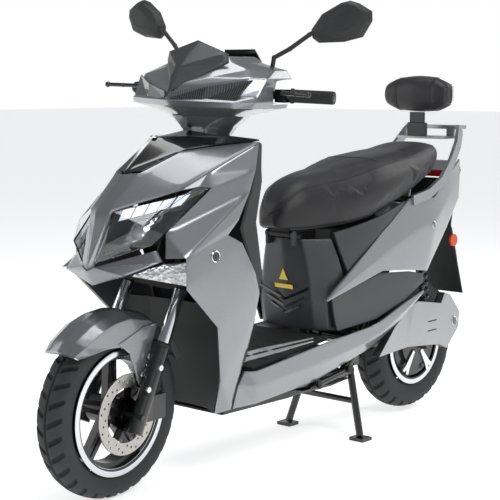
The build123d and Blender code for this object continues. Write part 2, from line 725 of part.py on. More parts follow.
def flat_bar(path, width, height):
    """Bar of upright rectangular section along a path that leans up and to the rear."""
    rings = []
    for i, (x, y, z) in enumerate(path):
        before, after = path[max(i - 1, 0)], path[min(i + 1, len(path) - 1)]
        run = Vector(0, after[1] - before[1], after[2] - before[2]).normalized()
        up = Vector(0, -run.Z, run.Y) * (height / 2)
        rings.append([
            Vector(x - width / 2, y, z) - up, Vector(x + width / 2, y, z) - up,
            Vector(x + width / 2, y, z) + up, Vector(x - width / 2, y, z) + up,
        ])
    return skin(rings)


def grab_rail():
    """Flat alloy bars along the tail, joined behind the seat by a cross plate and a carrier."""
    path = [(150, 474, 706), (150, 560, 722), (145, 640, 757), (132, 710, 812), (118, 765, 866),
            (104, 795, 906), (97, 806, 918)]
    left = trimmed(flat_bar(path, 12, 30), tail_panel_left())
    shape = left + flipped(left) + block((-104, 104), (792, 836), (914, 926))
    shape = shape + block((-92, 92), (722, 800), (884, 892))
    for side in (-1, 1):
        shape = shape + block(sorted((side * 56, side * 84)), (792, 800), (884, 920))
    return shape


def backrest_bracket():
    return block((-28, 28), (703, 711), (892, 969.5)) + block((-36, 36), (701, 713), (892, 936))


def backrest_pad():
    rings = []
    for x, z_low, z_high, thick in (
        (-122, 1002, 1052, 26), (-80, 976, 1078, 40), (0, 970, 1086, 44), (80, 976, 1078, 40),
        (122, 1002, 1052, 26),
    ):
        y = 716 + abs(x) * 0.02
        rings.append([
            (x, y, z_low), (x, y - thick * 0.8, z_low + 6), (x, y - thick, (z_low + z_high) / 2),
            (x, y - thick * 0.8, z_high - 6), (x, y, z_high), (x, y + 8, z_high - 8),
            (x, y + 8, z_low + 8),
        ])
    return skin(rings)


def tail_lamp():
    rings = []
    for z, y, half in ((756, 846, 90), (780, 852, 92), (800, 850, 88)):
        rings.append([(-half, y - 26, z), (-half * 0.6, y, z), (half * 0.6, y, z),
                      (half, y - 26, z), (half * 0.6, y - 29, z), (-half * 0.6, y - 29, z)])
    return skin(rings)


def rear_mudguard():
    """Inner guard over the wheel, and the sloping rear valance with its flat plate bracket."""
    guard = sheet([
        [(-58, 600, 540), (0, 600, 546), (58, 600, 540)],
        [(-60, 720, 590), (0, 720, 596), (60, 720, 590)],
        [(-80, 778, 596), (0, 778, 602), (80, 778, 596)],
    ], (0, 0, -5))
    valance = sheet([
        [(-88, 816, 752), (0, 816, 752), (88, 816, 752)],
        [(-86, 785, 604), (0, 785, 604), (86, 785, 604)],
        [(-88, 861, 370), (0, 861, 370), (88, 861, 370)],
    ], (0, -5, 0))
    slope = Plane(origin=(0, 806, 540), x_dir=(1, 0, 0), z_dir=plate_normal())
    plate = slope.location * block((-85, 85), (-55, 55), (-3, 4))
    holes = [slope.location * Pos(x, 0, 0) * Cylinder(3.2, 40) for x in (-60, 60)]
    return Compound([guard, *(valance + plate - holes).solids()])


def plate_normal():
    return Vector(0, math.cos(math.radians(PLATE_SLOPE)), math.sin(math.radians(PLATE_SLOPE)))


def side_reflectors():
    return both_sides(Pos(92, 790, 553) * Rot(0, 90, 0) * Cylinder(20, 7))


# Seat -------------------------------------------------------------------------------------------
SEAT_RINGS = [  # y, bottom, crown, half width, half width of the crown
    (-28, 655, 690, 30, 20), (-10, 650, 728, 52, 38), (10, 650, 752, 66, 50),
    (40, 650, 776, 82, 62), (80, 650.5, 791, 97, 74), (138, 653, 802, 116, 88),
    (200, 657.5, 811, 134, 102), (280, 667.5, 828, 146, 112), (348, 688, 841, 150, 118),
    (454, 718, 853, 146, 116), (534, 746, 861, 137, 108), (632, 785, 877, 120, 94),
    (680, 816, 882, 104, 82), (700, 838, 868, 76, 60),
]


def seat_cushion():
    rings = []
    for y, low, high, half, top_half in SEAT_RINGS:
        rise = high - low
        rings.append([
            (half * 0.92, y, low), (half, y, low + rise * 0.35), (top_half, y, high - rise * 0.1),
            (top_half * 0.5, y, high), (-top_half * 0.5, y, high),
            (-top_half, y, high - rise * 0.1), (-half, y, low + rise * 0.35),
            (-half * 0.92, y, low),
        ])
    return skin(rings)


def seat_pan():
    """Plastic pan under the cushion, with the knuckle that turns on the hinge pin."""
    rings = []
    for y, low, _, half, _ in SEAT_RINGS[2:-2]:
        width, top = half * 0.8, low - 0.4
        rings.append([(-width, y, top - 5), (width, y, top - 5), (width, y, top), (-width, y, top)])
    hinge = SEAT_HINGE
    knuckle = rod(hinge - Vector(40, 0, 0), hinge + Vector(40, 0, 0), 9)
    web = block((-36, 36), (hinge.Y - 6, hinge.Y + 6), (hinge.Z, 647))
    bore = rod(hinge - Vector(60, 0, 0), hinge + Vector(60, 0, 0), HINGE_PIN_R + RUNNING_GAP)
    return skin(rings) + (knuckle + web - bore)


PARTS = {
    "front_tyre": lambda: steered(tyre(FRONT_TYRE_R, FRONT_TYRE_HALF, FRONT_FLANGE_R, FRONT_AXLE)),
    "front_rim": lambda: steered(front_rim()),
    "brake_disc": lambda: steered(brake_disc()),
    "rear_tyre": lambda: tyre(REAR_TYRE_R, REAR_TYRE_HALF, REAR_FLANGE_R, REAR_AXLE),
    "rear_hub": rear_hub,
    "fork": lambda: steered(fork()),
    "brake_caliper": lambda: steered(brake_caliper()),
    "brake_hose": lambda: steered(brake_hose()),
    "front_mudguard": lambda: steered(front_mudguard()),
    "handlebar": lambda: steered(handlebar()),
    "grips": lambda: steered(grips()),
    "brake_levers": lambda: steered(brake_levers()),
    "handlebar_cowl": lambda: steered(handlebar_cowl()),
    "visor": lambda: steered(visor()),
    "position_lamp": lambda: steered(position_lamp()),
    "mirrors": lambda: steered(both_sides(mirror_left())),
    "frame": frame,
    "battery_pack": battery_pack,
    "swingarm": swingarm,
    "motor_covers": motor_covers,
    "rear_shocks": rear_shocks,
    "centre_stand": centre_stand,
    "side_stand": side_stand,
    "front_wings": lambda: both_sides(front_wing_left()),
    "nose_panel": nose_panel,
    "top_cover": top_cover,
    "headlamp_lenses": lambda: both_sides(headlamp_lens()),
    "headlamp_housing": headlamp_housing,
    "nose_lip": nose_lip,
    "front_indicators": lambda: both_sides(front_indicator()),
    "leg_shield": leg_shield,
    "inner_mudguard": inner_mudguard,
    "floorboard": floorboard,
    "floor_skirts": lambda: both_sides(floor_skirt_left()),
    "belly_pan": belly_pan,
    "seat_box": seat_box,
    "storage_bucket": storage_bucket,
    "tail_panels": tail_panels,
    "side_panels": side_panels,
    "grab_rail": grab_rail,
    "backrest_bracket": backrest_bracket,
    "backrest_pad": backrest_pad,
    "tail_lamp": tail_lamp,
    "rear_mudguard": rear_mudguard,
    "side_reflectors": side_reflectors,
    "seat_cushion": seat_cushion,
    "seat_pan": seat_pan,
}


def main():
    os.makedirs("parts", exist_ok=True)
    for name, make in PARTS.items():
        export_step(make(), f"parts/{name}.step")


if __name__ == "__main__":
    main()
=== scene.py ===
import json
import math

import bmesh
import bpy
import numpy as np
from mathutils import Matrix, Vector


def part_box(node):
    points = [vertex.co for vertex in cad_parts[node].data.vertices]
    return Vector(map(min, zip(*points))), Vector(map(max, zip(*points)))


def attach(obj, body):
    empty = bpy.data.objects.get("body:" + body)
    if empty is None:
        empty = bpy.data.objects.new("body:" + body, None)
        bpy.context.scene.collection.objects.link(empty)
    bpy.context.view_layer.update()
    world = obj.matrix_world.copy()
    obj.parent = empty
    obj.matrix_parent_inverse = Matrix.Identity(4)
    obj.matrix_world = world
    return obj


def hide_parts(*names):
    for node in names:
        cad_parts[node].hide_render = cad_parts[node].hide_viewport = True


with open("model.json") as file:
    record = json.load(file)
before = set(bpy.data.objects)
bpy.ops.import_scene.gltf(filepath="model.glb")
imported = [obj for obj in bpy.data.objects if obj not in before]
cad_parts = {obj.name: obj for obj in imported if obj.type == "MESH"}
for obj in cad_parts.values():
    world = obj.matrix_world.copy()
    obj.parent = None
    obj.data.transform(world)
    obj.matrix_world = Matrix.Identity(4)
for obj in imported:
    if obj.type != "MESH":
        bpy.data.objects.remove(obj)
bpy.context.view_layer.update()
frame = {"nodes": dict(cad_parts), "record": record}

bl_info = {
    "name": "Electric Motor Scooter",
    "version": (1, 0, 0),
    "blender": (4, 5, 0),
    "location": "View3D > Sidebar > Scooter",
    "description": "Finishes a step-through electric scooter round its packed frame",
    "category": "Object",
}

NODES = frame["nodes"]
BODY_OF = {node: body for body, nodes in frame["record"]["behaviour"]["bodies"].items()
           for node in nodes}
JOINTS = {joint["name"]: joint for joint in frame["record"]["behaviour"]["joints"]}
MM = 0.001


# Shapes -----------------------------------------------------------------------------------------
def unit(vector):
    """Each vector scaled to length one."""
    vector = np.asarray(vector, float)
    return vector / np.linalg.norm(vector, axis=-1, keepdims=True)


STEER_AXIS = unit(JOINTS["steering"]["axis"])
STEER_POINT = np.array(JOINTS["steering"]["pos_m"]) / MM
FRONT_AXIS = unit(JOINTS["front_wheel_spin"]["axis"])
FRONT_CENTRE = np.array(JOINTS["front_wheel_spin"]["pos_m"]) / MM
REAR_CENTRE = np.array(JOINTS["rear_wheel_spin"]["pos_m"]) / MM
ACROSS = np.array([1.0, 0.0, 0.0])

FRONT_CROWN, FRONT_HALF, FRONT_BEAD, FRONT_LIP = 229.0, 46.0, 165.0, 166.0
REAR_CROWN, REAR_HALF, REAR_BEAD, REAR_LIP = 218.0, 49.0, 137.0, 138.0
FRONT_GROOVES, REAR_GROOVES = 30, 28
LEG_X = 92.0
SHOCK_FOOT, SHOCK_HEAD = (82, 650, 290.0), (82, 603, 596.0)
GRIP_INNER, GRIP_OUTER = (232, -215, 1038.0), (345, -181, 1037.0)
MIRROR_CENTRE, MIRROR_YAW = (342, -141, 1232.0), 13.0
FLOOR_TOP, FLOOR_SLOPE = (0, -100, 320.2), 7.1
LAMP_CORNERS = [(24, -704, 620), (134, -602, 668), (164, -452, 796), (37, -650, 746)]
SWELL_STEPS = 20  # frames of cloth movement
VOXEL = 0.0055  # metres
CAMERA_PLACE = (2.572, -2.971, 1.066)  # metres
CAMERA_TURN, CAMERA_DOWN = 42.21, 7.54  # degrees
CAMERA_LENS, CAMERA_SHIFT = 98.6, (0.0154, 0.0262)


def turn(points, origin, axis, angle):
    """Rodrigues' formula: the part along the axis stays and the rest turns by the angle."""
    away = np.asarray(points, float) - origin
    along = (away @ axis)[..., None] * axis
    return (origin + along + (away - along) * math.cos(angle)
            + np.cross(axis, away) * math.sin(angle))


STEER_REST = math.acos(float(np.clip(FRONT_AXIS @ ACROSS, -1, 1)))


def steered(points):
    """Turns points given for straight steering to where the fork rests."""
    return turn(points, STEER_POINT, STEER_AXIS, STEER_REST)


def on_fork(x, back, up):
    """Point given across, behind and along the steering axis, with the steering straight."""
    behind = np.array([0.0, STEER_AXIS[2], -STEER_AXIS[1]])
    return np.array([x, 0.0, 0.0]) + STEER_POINT + behind * back + STEER_AXIS * up


def spline(points, count, closed=False):
    """Catmull-Rom curve: a cubic between neighbours, its slope at each along the chord past it."""
    p = np.asarray(points, float)
    n = len(p)
    t = np.linspace(0, n if closed else n - 1, count, endpoint=not closed)
    i = np.minimum(t.astype(int), n - 1 if closed else n - 2)
    f = (t - i).reshape(-1, *[1] * (p.ndim - 1))
    if closed:
        a, b, c, d = p[(i - 1) % n], p[i % n], p[(i + 1) % n], p[(i + 2) % n]
    else:
        e = np.concatenate([[2 * p[0] - p[1]], p, [2 * p[-1] - p[-2]]])
        a, b, c, d = e[i], e[i + 1], e[i + 2], e[i + 3]
    return 0.5 * (2 * b + (c - a) * f + (2 * a - 5 * b + 4 * c - d) * f ** 2
                  + (3 * b - a - 3 * c + d) * f ** 3)


def grid_faces(rows, columns, wrap_rows=False, wrap_columns=False):
    """Quads of a grid of points, joined round to its start where asked."""
    i, j = np.meshgrid(np.arange(rows - (not wrap_rows)), np.arange(columns - (not wrap_columns)),
                       indexing="ij")
    k, m = (i + 1) % rows, (j + 1) % columns
    quads = np.stack([i * columns + j, i * columns + m, k * columns + m, k * columns + j], -1)
    return quads.reshape(-1, 4).tolist()


def piece(name, points, faces, material, body, crease=40.0, edge=0.0, segments=2, outward=True):
    """Mesh from points in millimetres, shaded smooth below the crease angle, riding on its body."""
    mesh = bpy.data.meshes.new(name)
    mesh.from_pydata((np.reshape(points, (-1, 3)) * MM).tolist(), [], faces)
    if outward:
        shell = bmesh.new()
        shell.from_mesh(mesh)
        bmesh.ops.remove_doubles(shell, verts=shell.verts, dist=1e-6)
        bmesh.ops.recalc_face_normals(shell, faces=shell.faces)
        shell.to_mesh(mesh)
        shell.free()
    return placed(name, mesh, material, body, crease, edge, segments)


def placed(name, mesh, material, body, crease, edge, segments):
    """Object for a finished mesh: smooth below the crease angle, eased edges, on its body."""
    mesh.shade_smooth()
    mesh.set_sharp_from_angle(angle=math.radians(crease))
    mesh.materials.clear()
    mesh.materials.append(material)
    made = bpy.data.objects.new(name, mesh)
    bpy.context.scene.collection.objects.link(made)
    if edge:
        bevel = made.modifiers.new("edge", "BEVEL")
        bevel.width = edge * MM
        bevel.segments = segments
        bevel.limit_method = "ANGLE"
        bevel.angle_limit = math.radians(crease)
        bevel.harden_normals = True
    made["scooter_body"] = body
    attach(made, body)
    return made


def turned(name, profile, centres, axis, material, body, around=64, **options):
    """Surface of revolution, one per centre: each (along, radius) point sweeps a full circle."""
    axis = unit(axis)
    first = unit(np.cross(axis, [0.0, 0.3, 1.0]))
    second = np.cross(axis, first)
    angle = np.linspace(0, 2 * math.pi, around, endpoint=False)
    ring = np.cos(angle)[:, None] * first + np.sin(angle)[:, None] * second
    along, radius = np.array(profile, float).T
    shape = along[:, None, None] * axis + radius[:, None, None] * ring
    centres = np.reshape(centres, (-1, 3))
    points = centres[:, None, None, :] + shape
    rows = len(profile)
    one = np.array(grid_faces(rows, around, wrap_columns=True))
    faces = (one[None] + (np.arange(len(centres)) * rows * around)[:, None, None]).reshape(-1, 4)
    return piece(name, points, faces.tolist(), material, body, **options)


def loft(name, sections, material, body, rows=40, columns=48, closed=True, **options):
    """Skin through sections of equal count, cubic both ways, with a cap at each end if closed."""
    across = spline(np.swapaxes(np.asarray(sections, float), 0, 1), columns, closed)
    points = spline(np.swapaxes(across, 0, 1), rows)
    faces = grid_faces(rows, columns, wrap_columns=closed)
    if closed:
        faces += [list(range(columns))[::-1], list(range((rows - 1) * columns, rows * columns))]
    return piece(name, points, faces, material, body, **options)


def tube(name, path, radius, material, body, count=40, sides=16, smooth=True, **options):
    """Round bar: circles of the radius set square to a smooth path."""
    line = spline(path, count) if smooth else np.asarray(path, float)
    run = unit(np.gradient(line, axis=0))
    guide = unit(np.cross(run.mean(0), [0.31, 0.22, 0.93]))
    first = unit(guide - (run @ guide)[:, None] * run)
    second = np.cross(run, first)
    angle = np.linspace(0, 2 * math.pi, sides, endpoint=False)[None, :, None]
    width = np.broadcast_to(np.asarray(radius, float), (len(line),))[:, None, None]
    circle = np.cos(angle) * first[:, None] + np.sin(angle) * second[:, None]
    points = line[:, None] + width * circle
    faces = grid_faces(len(line), sides, wrap_columns=True)
    faces += [list(range(sides))[::-1], list(range((len(line) - 1) * sides, len(line) * sides))]
    return piece(name, points, faces, material, body, **options)


def plate(name, outline, origin, right, up, depth, material, body, edge=0.6, **options):
    """Flat plate: its outline in two directions, and the same outline set back by its depth."""
    right, up = unit(right), unit(up)
    back = np.cross(right, up) * depth
    outline = np.asarray(outline, float)
    front = np.asarray(origin, float) + outline[:, :1] * right + outline[:, 1:] * up
    count = len(outline)
    points = np.concatenate([front, front - back])
    ring = np.arange(count)
    after = (ring + 1) % count
    faces = np.stack([ring, ring + count, after + count, after], -1).tolist()
    faces += [ring.tolist(), (ring[::-1] + count).tolist()]
    return piece(name, points, faces, material, body, edge=edge, **options)


def spikes(made, node):
    """True where eased edges reach more than 3 mm outside the panel's own box."""
    bpy.context.view_layer.update()
    shape = made.evaluated_get(bpy.context.evaluated_depsgraph_get()).to_mesh()
    places = np.empty(len(shape.vertices) * 3)
    shape.vertices.foreach_get("co", places)
    low, high = (np.array(corner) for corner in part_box(node))
    places = places.reshape(-1, 3)
    return bool((places < low - 3 * MM).any() or (places > high + 3 * MM).any())


def soften(node, material, edge=1.6, crease=26.0, segments=3, curved=False):
    """Stands for a CAD panel: its own faces, merged, with eased edges between them."""
    source = NODES[node]
    mesh = source.data.copy()
    shell = bmesh.new()
    shell.from_mesh(mesh)
    bmesh.ops.remove_doubles(shell, verts=shell.verts, dist=2e-5)
    bmesh.ops.dissolve_limit(shell, angle_limit=math.radians(0.6), verts=shell.verts,
                             edges=shell.edges)
    if curved:
        firm = shell.edges.layers.float.new("crease_edge")
        corner = shell.verts.layers.float.new("crease_vert")
        for line in shell.edges:
            bend = math.degrees(line.calc_face_angle(math.pi))
            line[firm] = min(1.0, max(0.0, (bend - 8.0) / 26.0)) ** 0.5
            if bend > 48.0:
                line.verts[0][corner] = line.verts[1][corner] = 1.0
    shell.to_mesh(mesh)
    shell.free()
    made = placed(node + "_skin", mesh, material, BODY_OF[node], crease, 0 if curved else edge,
                  segments)
    if curved:
        curve = made.modifiers.new("curve", "SUBSURF")
        curve.levels = curve.render_levels = 3
        bevel = made.modifiers.new("edge", "BEVEL")
        bevel.width, bevel.segments, bevel.limit_method = edge * MM * 0.5, 2, "ANGLE"
        bevel.angle_limit = math.radians(48)
        if spikes(made, node):
            made.modifiers.remove(bevel)
        made.data.set_sharp_from_angle(angle=math.radians(89))
    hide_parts(node)
    return made


def paint(material, *nodes):
    """Gives CAD nodes that keep their own shape their finish."""
    for node in nodes:
        mesh = NODES[node].data
        mesh.materials.clear()
        mesh.materials.append(material)


def resting(made, point):
    """Nearest place on a piece's skin, and which way the skin faces there."""
    bpy.context.view_layer.update()
    skin = made.evaluated_get(bpy.context.evaluated_depsgraph_get())
    _, place, facing, _ = skin.closest_point_on_mesh((np.asarray(point, float) * MM).tolist())
    return np.array(place) / MM, np.array(facing)


def decal(name, made, point, outline, proud, thick, material, right=None):
    """Thin plate that lies on another piece's skin, set proud of it."""
    place, facing = resting(made, point)
    right = unit(np.cross([0.0, 0.0, 1.0], facing)) if right is None else unit(right)
    up = np.cross(facing, right)
    return plate(name, outline, place + facing * proud, right, up, thick, material,
                 made["scooter_body"], edge=0.2)


def patch(name, corners, span, lift, thick, material, body, bulge=0.0, **options):
    """Four-cornered sheet: bilinear between its corners, swollen by a sine bump, with a wall."""
    a, b, c, d = np.array(corners, float)
    u = np.linspace(span[0], span[1], 14)[:, None, None]
    v = np.linspace(span[2], span[3], 14)[None, :, None]
    flat = a * (1 - u) * (1 - v) + b * u * (1 - v) + c * u * v + d * (1 - u) * v
    facing = unit(np.cross(b - a, d - a))
    swell = np.sin(np.linspace(0, math.pi, 14))
    rise = (swell[:, None] * swell[None])[..., None] * bulge
    front, back = flat + facing * (lift + rise), flat + facing * (lift + rise - thick)
    points = np.concatenate([front, back[:, ::-1]], 1)
    faces = grid_faces(14, 28, wrap_columns=True)
    faces += [list(range(28))[::-1], list(range(13 * 28, 14 * 28))]
    return piece(name, points, faces, material, body, **options)


# Materials --------------------------------------------------------------------------------------
def linear(code):
    """sRGB hex to the linear colour that the shader works in."""
    value = np.array([int(code[i:i + 2], 16) for i in (1, 3, 5)]) / 255
    value = np.where(value <= 0.04045, value / 12.92, ((value + 0.055) / 1.055) ** 2.4)
    return (*value.tolist(), 1.0)


def add(tree, kind, values=None, links=None, **fields):
    """Adds one shader node with its fields, input values and incoming links."""
    made = tree.nodes.new("ShaderNode" + kind)
    for field, value in fields.items():
        setattr(made, field, value)
    for socket, value in (values or {}).items():
        made.inputs[socket].default_value = value
    for socket, source in (links or {}).items():
        tree.links.new(source, made.inputs[socket])
    return made


def begin(name, values):
    """New material with its shader and the object's own coordinates."""
    material = bpy.data.materials.new(name)
    material.use_nodes = True
    tree = material.node_tree
    tree.nodes.clear()
    shader = add(tree, "BsdfPrincipled", values)
    add(tree, "OutputMaterial", links={"Surface": shader.outputs[0]})
    place = add(tree, "TexCoord").outputs["Object"]
    return material, tree, shader, place


def shade(colour, amount):
    """The chosen colour, lighter or darker by a factor."""
    return tuple(min(1.0, part * amount) for part in colour[:3]) + (1.0,)


def tinted(tree, shader, factor, low, high):
    """Colour that runs from one value to another with the factor."""
    ramp = add(tree, "ValToRGB", links={0: factor})
    for element, colour in zip(ramp.color_ramp.elements, (low, high)):
        element.color = linear(colour) if isinstance(colour, str) else colour
    tree.links.new(ramp.outputs[0], shader.inputs["Base Color"])
    return ramp


def rough_between(tree, shader, factor, low, high):
    """Roughness that runs between two values with the factor."""
    spread = add(tree, "MapRange", {3: low, 4: high}, {0: factor})
    tree.links.new(spread.outputs[0], shader.inputs["Roughness"])


def bumped(tree, shader, height, depth_mm, strength=1.0):
    """Bump of a real depth in millimetres."""
    bump = add(tree, "Bump", {"Strength": strength, "Distance": depth_mm * MM}, {"Height": height})
    tree.links.new(bump.outputs[0], shader.inputs["Normal"])


def metallic_lacquer(colour):
    """Grey base with aluminium flake under clear coat: soft body colour, sharp highlights."""
    material, tree, shader, place = begin("metallic_lacquer_sprayed", {
        "Metallic": 0.62, "Roughness": 0.3, "Coat Weight": 1.0, "Coat Roughness": 0.04})
    # Real flake is about 0.05 mm; it is drawn at 1.1 mm, the finest that shows.
    flake = add(tree, "TexVoronoi", {"Scale": 1 / (1.1 * MM)}, {"Vector": place})
    tinted(tree, shader, flake.outputs["Color"], shade(colour, 0.88), shade(colour, 1.1))
    peel = add(tree, "TexNoise", {"Scale": 1 / (5 * MM), "Detail": 2.0}, {"Vector": place})
    bumped(tree, shader, peel.outputs[0], 0.03, 0.15)
    return material


def moulded(name, dark, light, grain_mm, depth_mm, rough=(0.45, 0.6), coat=0.0, specular=0.5):
    """Injection-moulded plastic: spark-eroded grain that breaks the highlight up."""
    material, tree, shader, place = begin(name, {
        "Coat Weight": coat, "Coat Roughness": 0.05, "Specular IOR Level": specular})
    grain = add(tree, "TexVoronoi", {"Scale": 1 / (grain_mm * MM)}, {"Vector": place})
    cloud = add(tree, "TexNoise", {"Scale": 1 / (60 * MM), "Detail": 4.0}, {"Vector": place})
    tinted(tree, shader, cloud.outputs[0], dark, light)
    rough_between(tree, shader, cloud.outputs[0], *rough)
    bumped(tree, shader, grain.outputs["Distance"], depth_mm, 0.5)
    return material


def metal(name, dark, light, rough, grain_mm, stretch=(1, 1, 1), depth_mm=0.02, plated=1.0):
    """Bare or plated metal: fine directional or cast texture, drawn coarse enough to show."""
    material, tree, shader, place = begin(name, {
        "Metallic": plated})
    lay = add(tree, "Mapping", {"Scale": stretch}, {"Vector": place})
    grain = add(tree, "TexNoise", {"Scale": 1 / (grain_mm * MM), "Detail": 5.0},
                {"Vector": lay.outputs[0]})
    tinted(tree, shader, grain.outputs[0], dark, light)
    rough_between(tree, shader, grain.outputs[0], *rough)
    bumped(tree, shader, grain.outputs[0], depth_mm, 0.4)
    return material


def painted_steel(name, dark, light, rough=(0.28, 0.4)):
    """Stove enamel over steel: thick even gloss with a slight ripple."""
    material, tree, shader, place = begin(name, {"Coat Weight": 0.4, "Coat Roughness": 0.12})
    ripple = add(tree, "TexNoise", {"Scale": 1 / (8 * MM), "Detail": 3.0}, {"Vector": place})
    tinted(tree, shader, ripple.outputs[0], dark, light)
    rough_between(tree, shader, ripple.outputs[0], *rough)
    bumped(tree, shader, ripple.outputs[0], 0.08, 0.3)
    return material


def tyre_rubber():
    """Carbon-black rubber: nearly matt, a little browner and duller where dust sits, and painted
    near black in the tread grooves as painted shade.
    """
    material, tree, shader, place = begin("tyre_rubber_vulcanised", {"Specular IOR Level": 0.35})
    dust = add(tree, "TexNoise", {"Scale": 1 / (35 * MM), "Detail": 6.0}, {"Vector": place})
    tread = add(tree, "ValToRGB", links={0: dust.outputs[0]})
    tread.color_ramp.elements[0].color = linear("#232425")
    tread.color_ramp.elements[1].color = linear("#38393A")
    # painted shade: where the groove mask is set, the colour runs to near black #070707, standing
    # for the shade inside the tread grooves
    cut = add(tree, "Attribute", attribute_name="cut")
    mix = add(tree, "Mix", {7: linear("#070707")}, {0: cut.outputs["Fac"], 6: tread.outputs[0]},
              data_type="RGBA")
    tree.links.new(mix.outputs[2], shader.inputs["Base Color"])
    rough_between(tree, shader, dust.outputs[0], 0.55, 0.78)
    fine = add(tree, "TexNoise", {"Scale": 1 / (1.5 * MM), "Detail": 2.0}, {"Vector": place})
    bumped(tree, shader, fine.outputs[0], 0.15, 0.5)
    return material


def seat_vinyl(colour):
    """Embossed vinyl over foam: pebbled skin about 1.4 mm across with a low sheen."""
    material, tree, shader, place = begin("vinyl_embossed", {
        "Specular IOR Level": 0.42, "Sheen Weight": 0.08, "Sheen Roughness": 0.5})
    pebble = add(tree, "TexVoronoi", {"Scale": 1 / (1.6 * MM)}, {"Vector": place},
                 feature="DISTANCE_TO_EDGE")
    wear = add(tree, "TexNoise", {"Scale": 1 / (90 * MM), "Detail": 5.0}, {"Vector": place})
    tinted(tree, shader, wear.outputs[0], shade(colour, 0.7), shade(colour, 1.3))
    rough_between(tree, shader, wear.outputs[0], 0.38, 0.52)
    bumped(tree, shader, pebble.outputs["Distance"], 0.25, 0.6)
    return material


def lens(name, colour, rough=0.03, through=1.0):
    """Moulded polycarbonate: clear and glossy, with faint flow lines."""
    material, tree, shader, place = begin(name, {
        "Base Color": linear(colour), "Transmission Weight": through, "IOR": 1.45,
        "Roughness": rough, "Coat Weight": 0.4, "Coat Roughness": 0.02})
    flow = add(tree, "TexNoise", {"Scale": 1 / (14 * MM), "Detail": 1.0}, {"Vector": place})
    bumped(tree, shader, flow.outputs[0], 0.05, 0.15)
    return material


def disc_steel():
    """Ground stainless rotor inside which the carrier is black: circular grinding marks."""
    material, tree, shader, place = begin("stainless_disc_ground", {"Metallic": 1.0})
    local = add(tree, "Mapping", {"Location": (-FRONT_CENTRE * MM).tolist()}, {"Vector": place})
    reach = add(tree, "VectorMath", links={0: local.outputs[0]}, operation="LENGTH")
    marks = add(tree, "Math", {1: 1 / (0.9 * MM)}, {0: reach.outputs["Value"]},
                operation="MULTIPLY")
    lines = add(tree, "TexNoise", {"Scale": 1.0, "Detail": 3.0}, {"W": marks.outputs[0]},
                noise_dimensions="1D")
    edge = add(tree, "Math", {1: math.hypot(72.0, 64.0) * MM}, {0: reach.outputs["Value"]},
               operation="GREATER_THAN")
    steel = add(tree, "ValToRGB", links={0: lines.outputs[0]})
    steel.color_ramp.elements[0].color = linear("#8E8C88")
    steel.color_ramp.elements[1].color = linear("#C9C7C2")
    mix = add(tree, "Mix", {6: linear("#1A1A1B")}, {0: edge.outputs[0], 7: steel.outputs[0]},
              data_type="RGBA")
    tree.links.new(mix.outputs[2], shader.inputs["Base Color"])
    rough_between(tree, shader, lines.outputs[0], 0.25, 0.42)
    bumped(tree, shader, lines.outputs[0], 0.02, 0.3)
    return material


def reflector():
    """Vacuum-metallised bowl under clear polycarbonate: bright facets behind a hard gloss."""
    material, tree, shader, place = begin("reflector_metallised", {
        "Metallic": 0.85, "Roughness": 0.12, "Coat Weight": 1.0, "Coat Roughness": 0.02})
    facet = add(tree, "TexVoronoi", {"Scale": 1 / (9 * MM)}, {"Vector": place})
    tinted(tree, shader, facet.outputs["Color"], "#9EA2A6", "#F2F4F6")
    bumped(tree, shader, facet.outputs["Distance"], 2.0, 0.5)
    return material


def smoked_cover():
    """Smoked polycarbonate over vertical ribs: dark gloss with fine upright lines."""
    material, tree, shader, place = begin("polycarbonate_smoked_ribbed", {
        "Roughness": 0.12, "Coat Weight": 1.0, "Coat Roughness": 0.02})
    ribs = add(tree, "TexWave", {"Scale": 60.0, "Distortion": 0.3}, {"Vector": place},
               bands_direction="X")
    tinted(tree, shader, ribs.outputs[0], "#131416", "#3E4144")
    bumped(tree, shader, ribs.outputs[0], 0.8, 0.4)
    return material


def glowing(name, colour, strength):
    """Light guide that gives a faint even light."""
    material, tree, shader, place = begin(name, {
        "Base Color": linear(colour), "Emission Color": linear(colour),
        "Emission Strength": strength, "Roughness": 0.3})
    frost = add(tree, "TexNoise", {"Scale": 1 / (2 * MM)}, {"Vector": place})
    bumped(tree, shader, frost.outputs[0], 0.1, 0.3)
    return material


FINISHES = {}


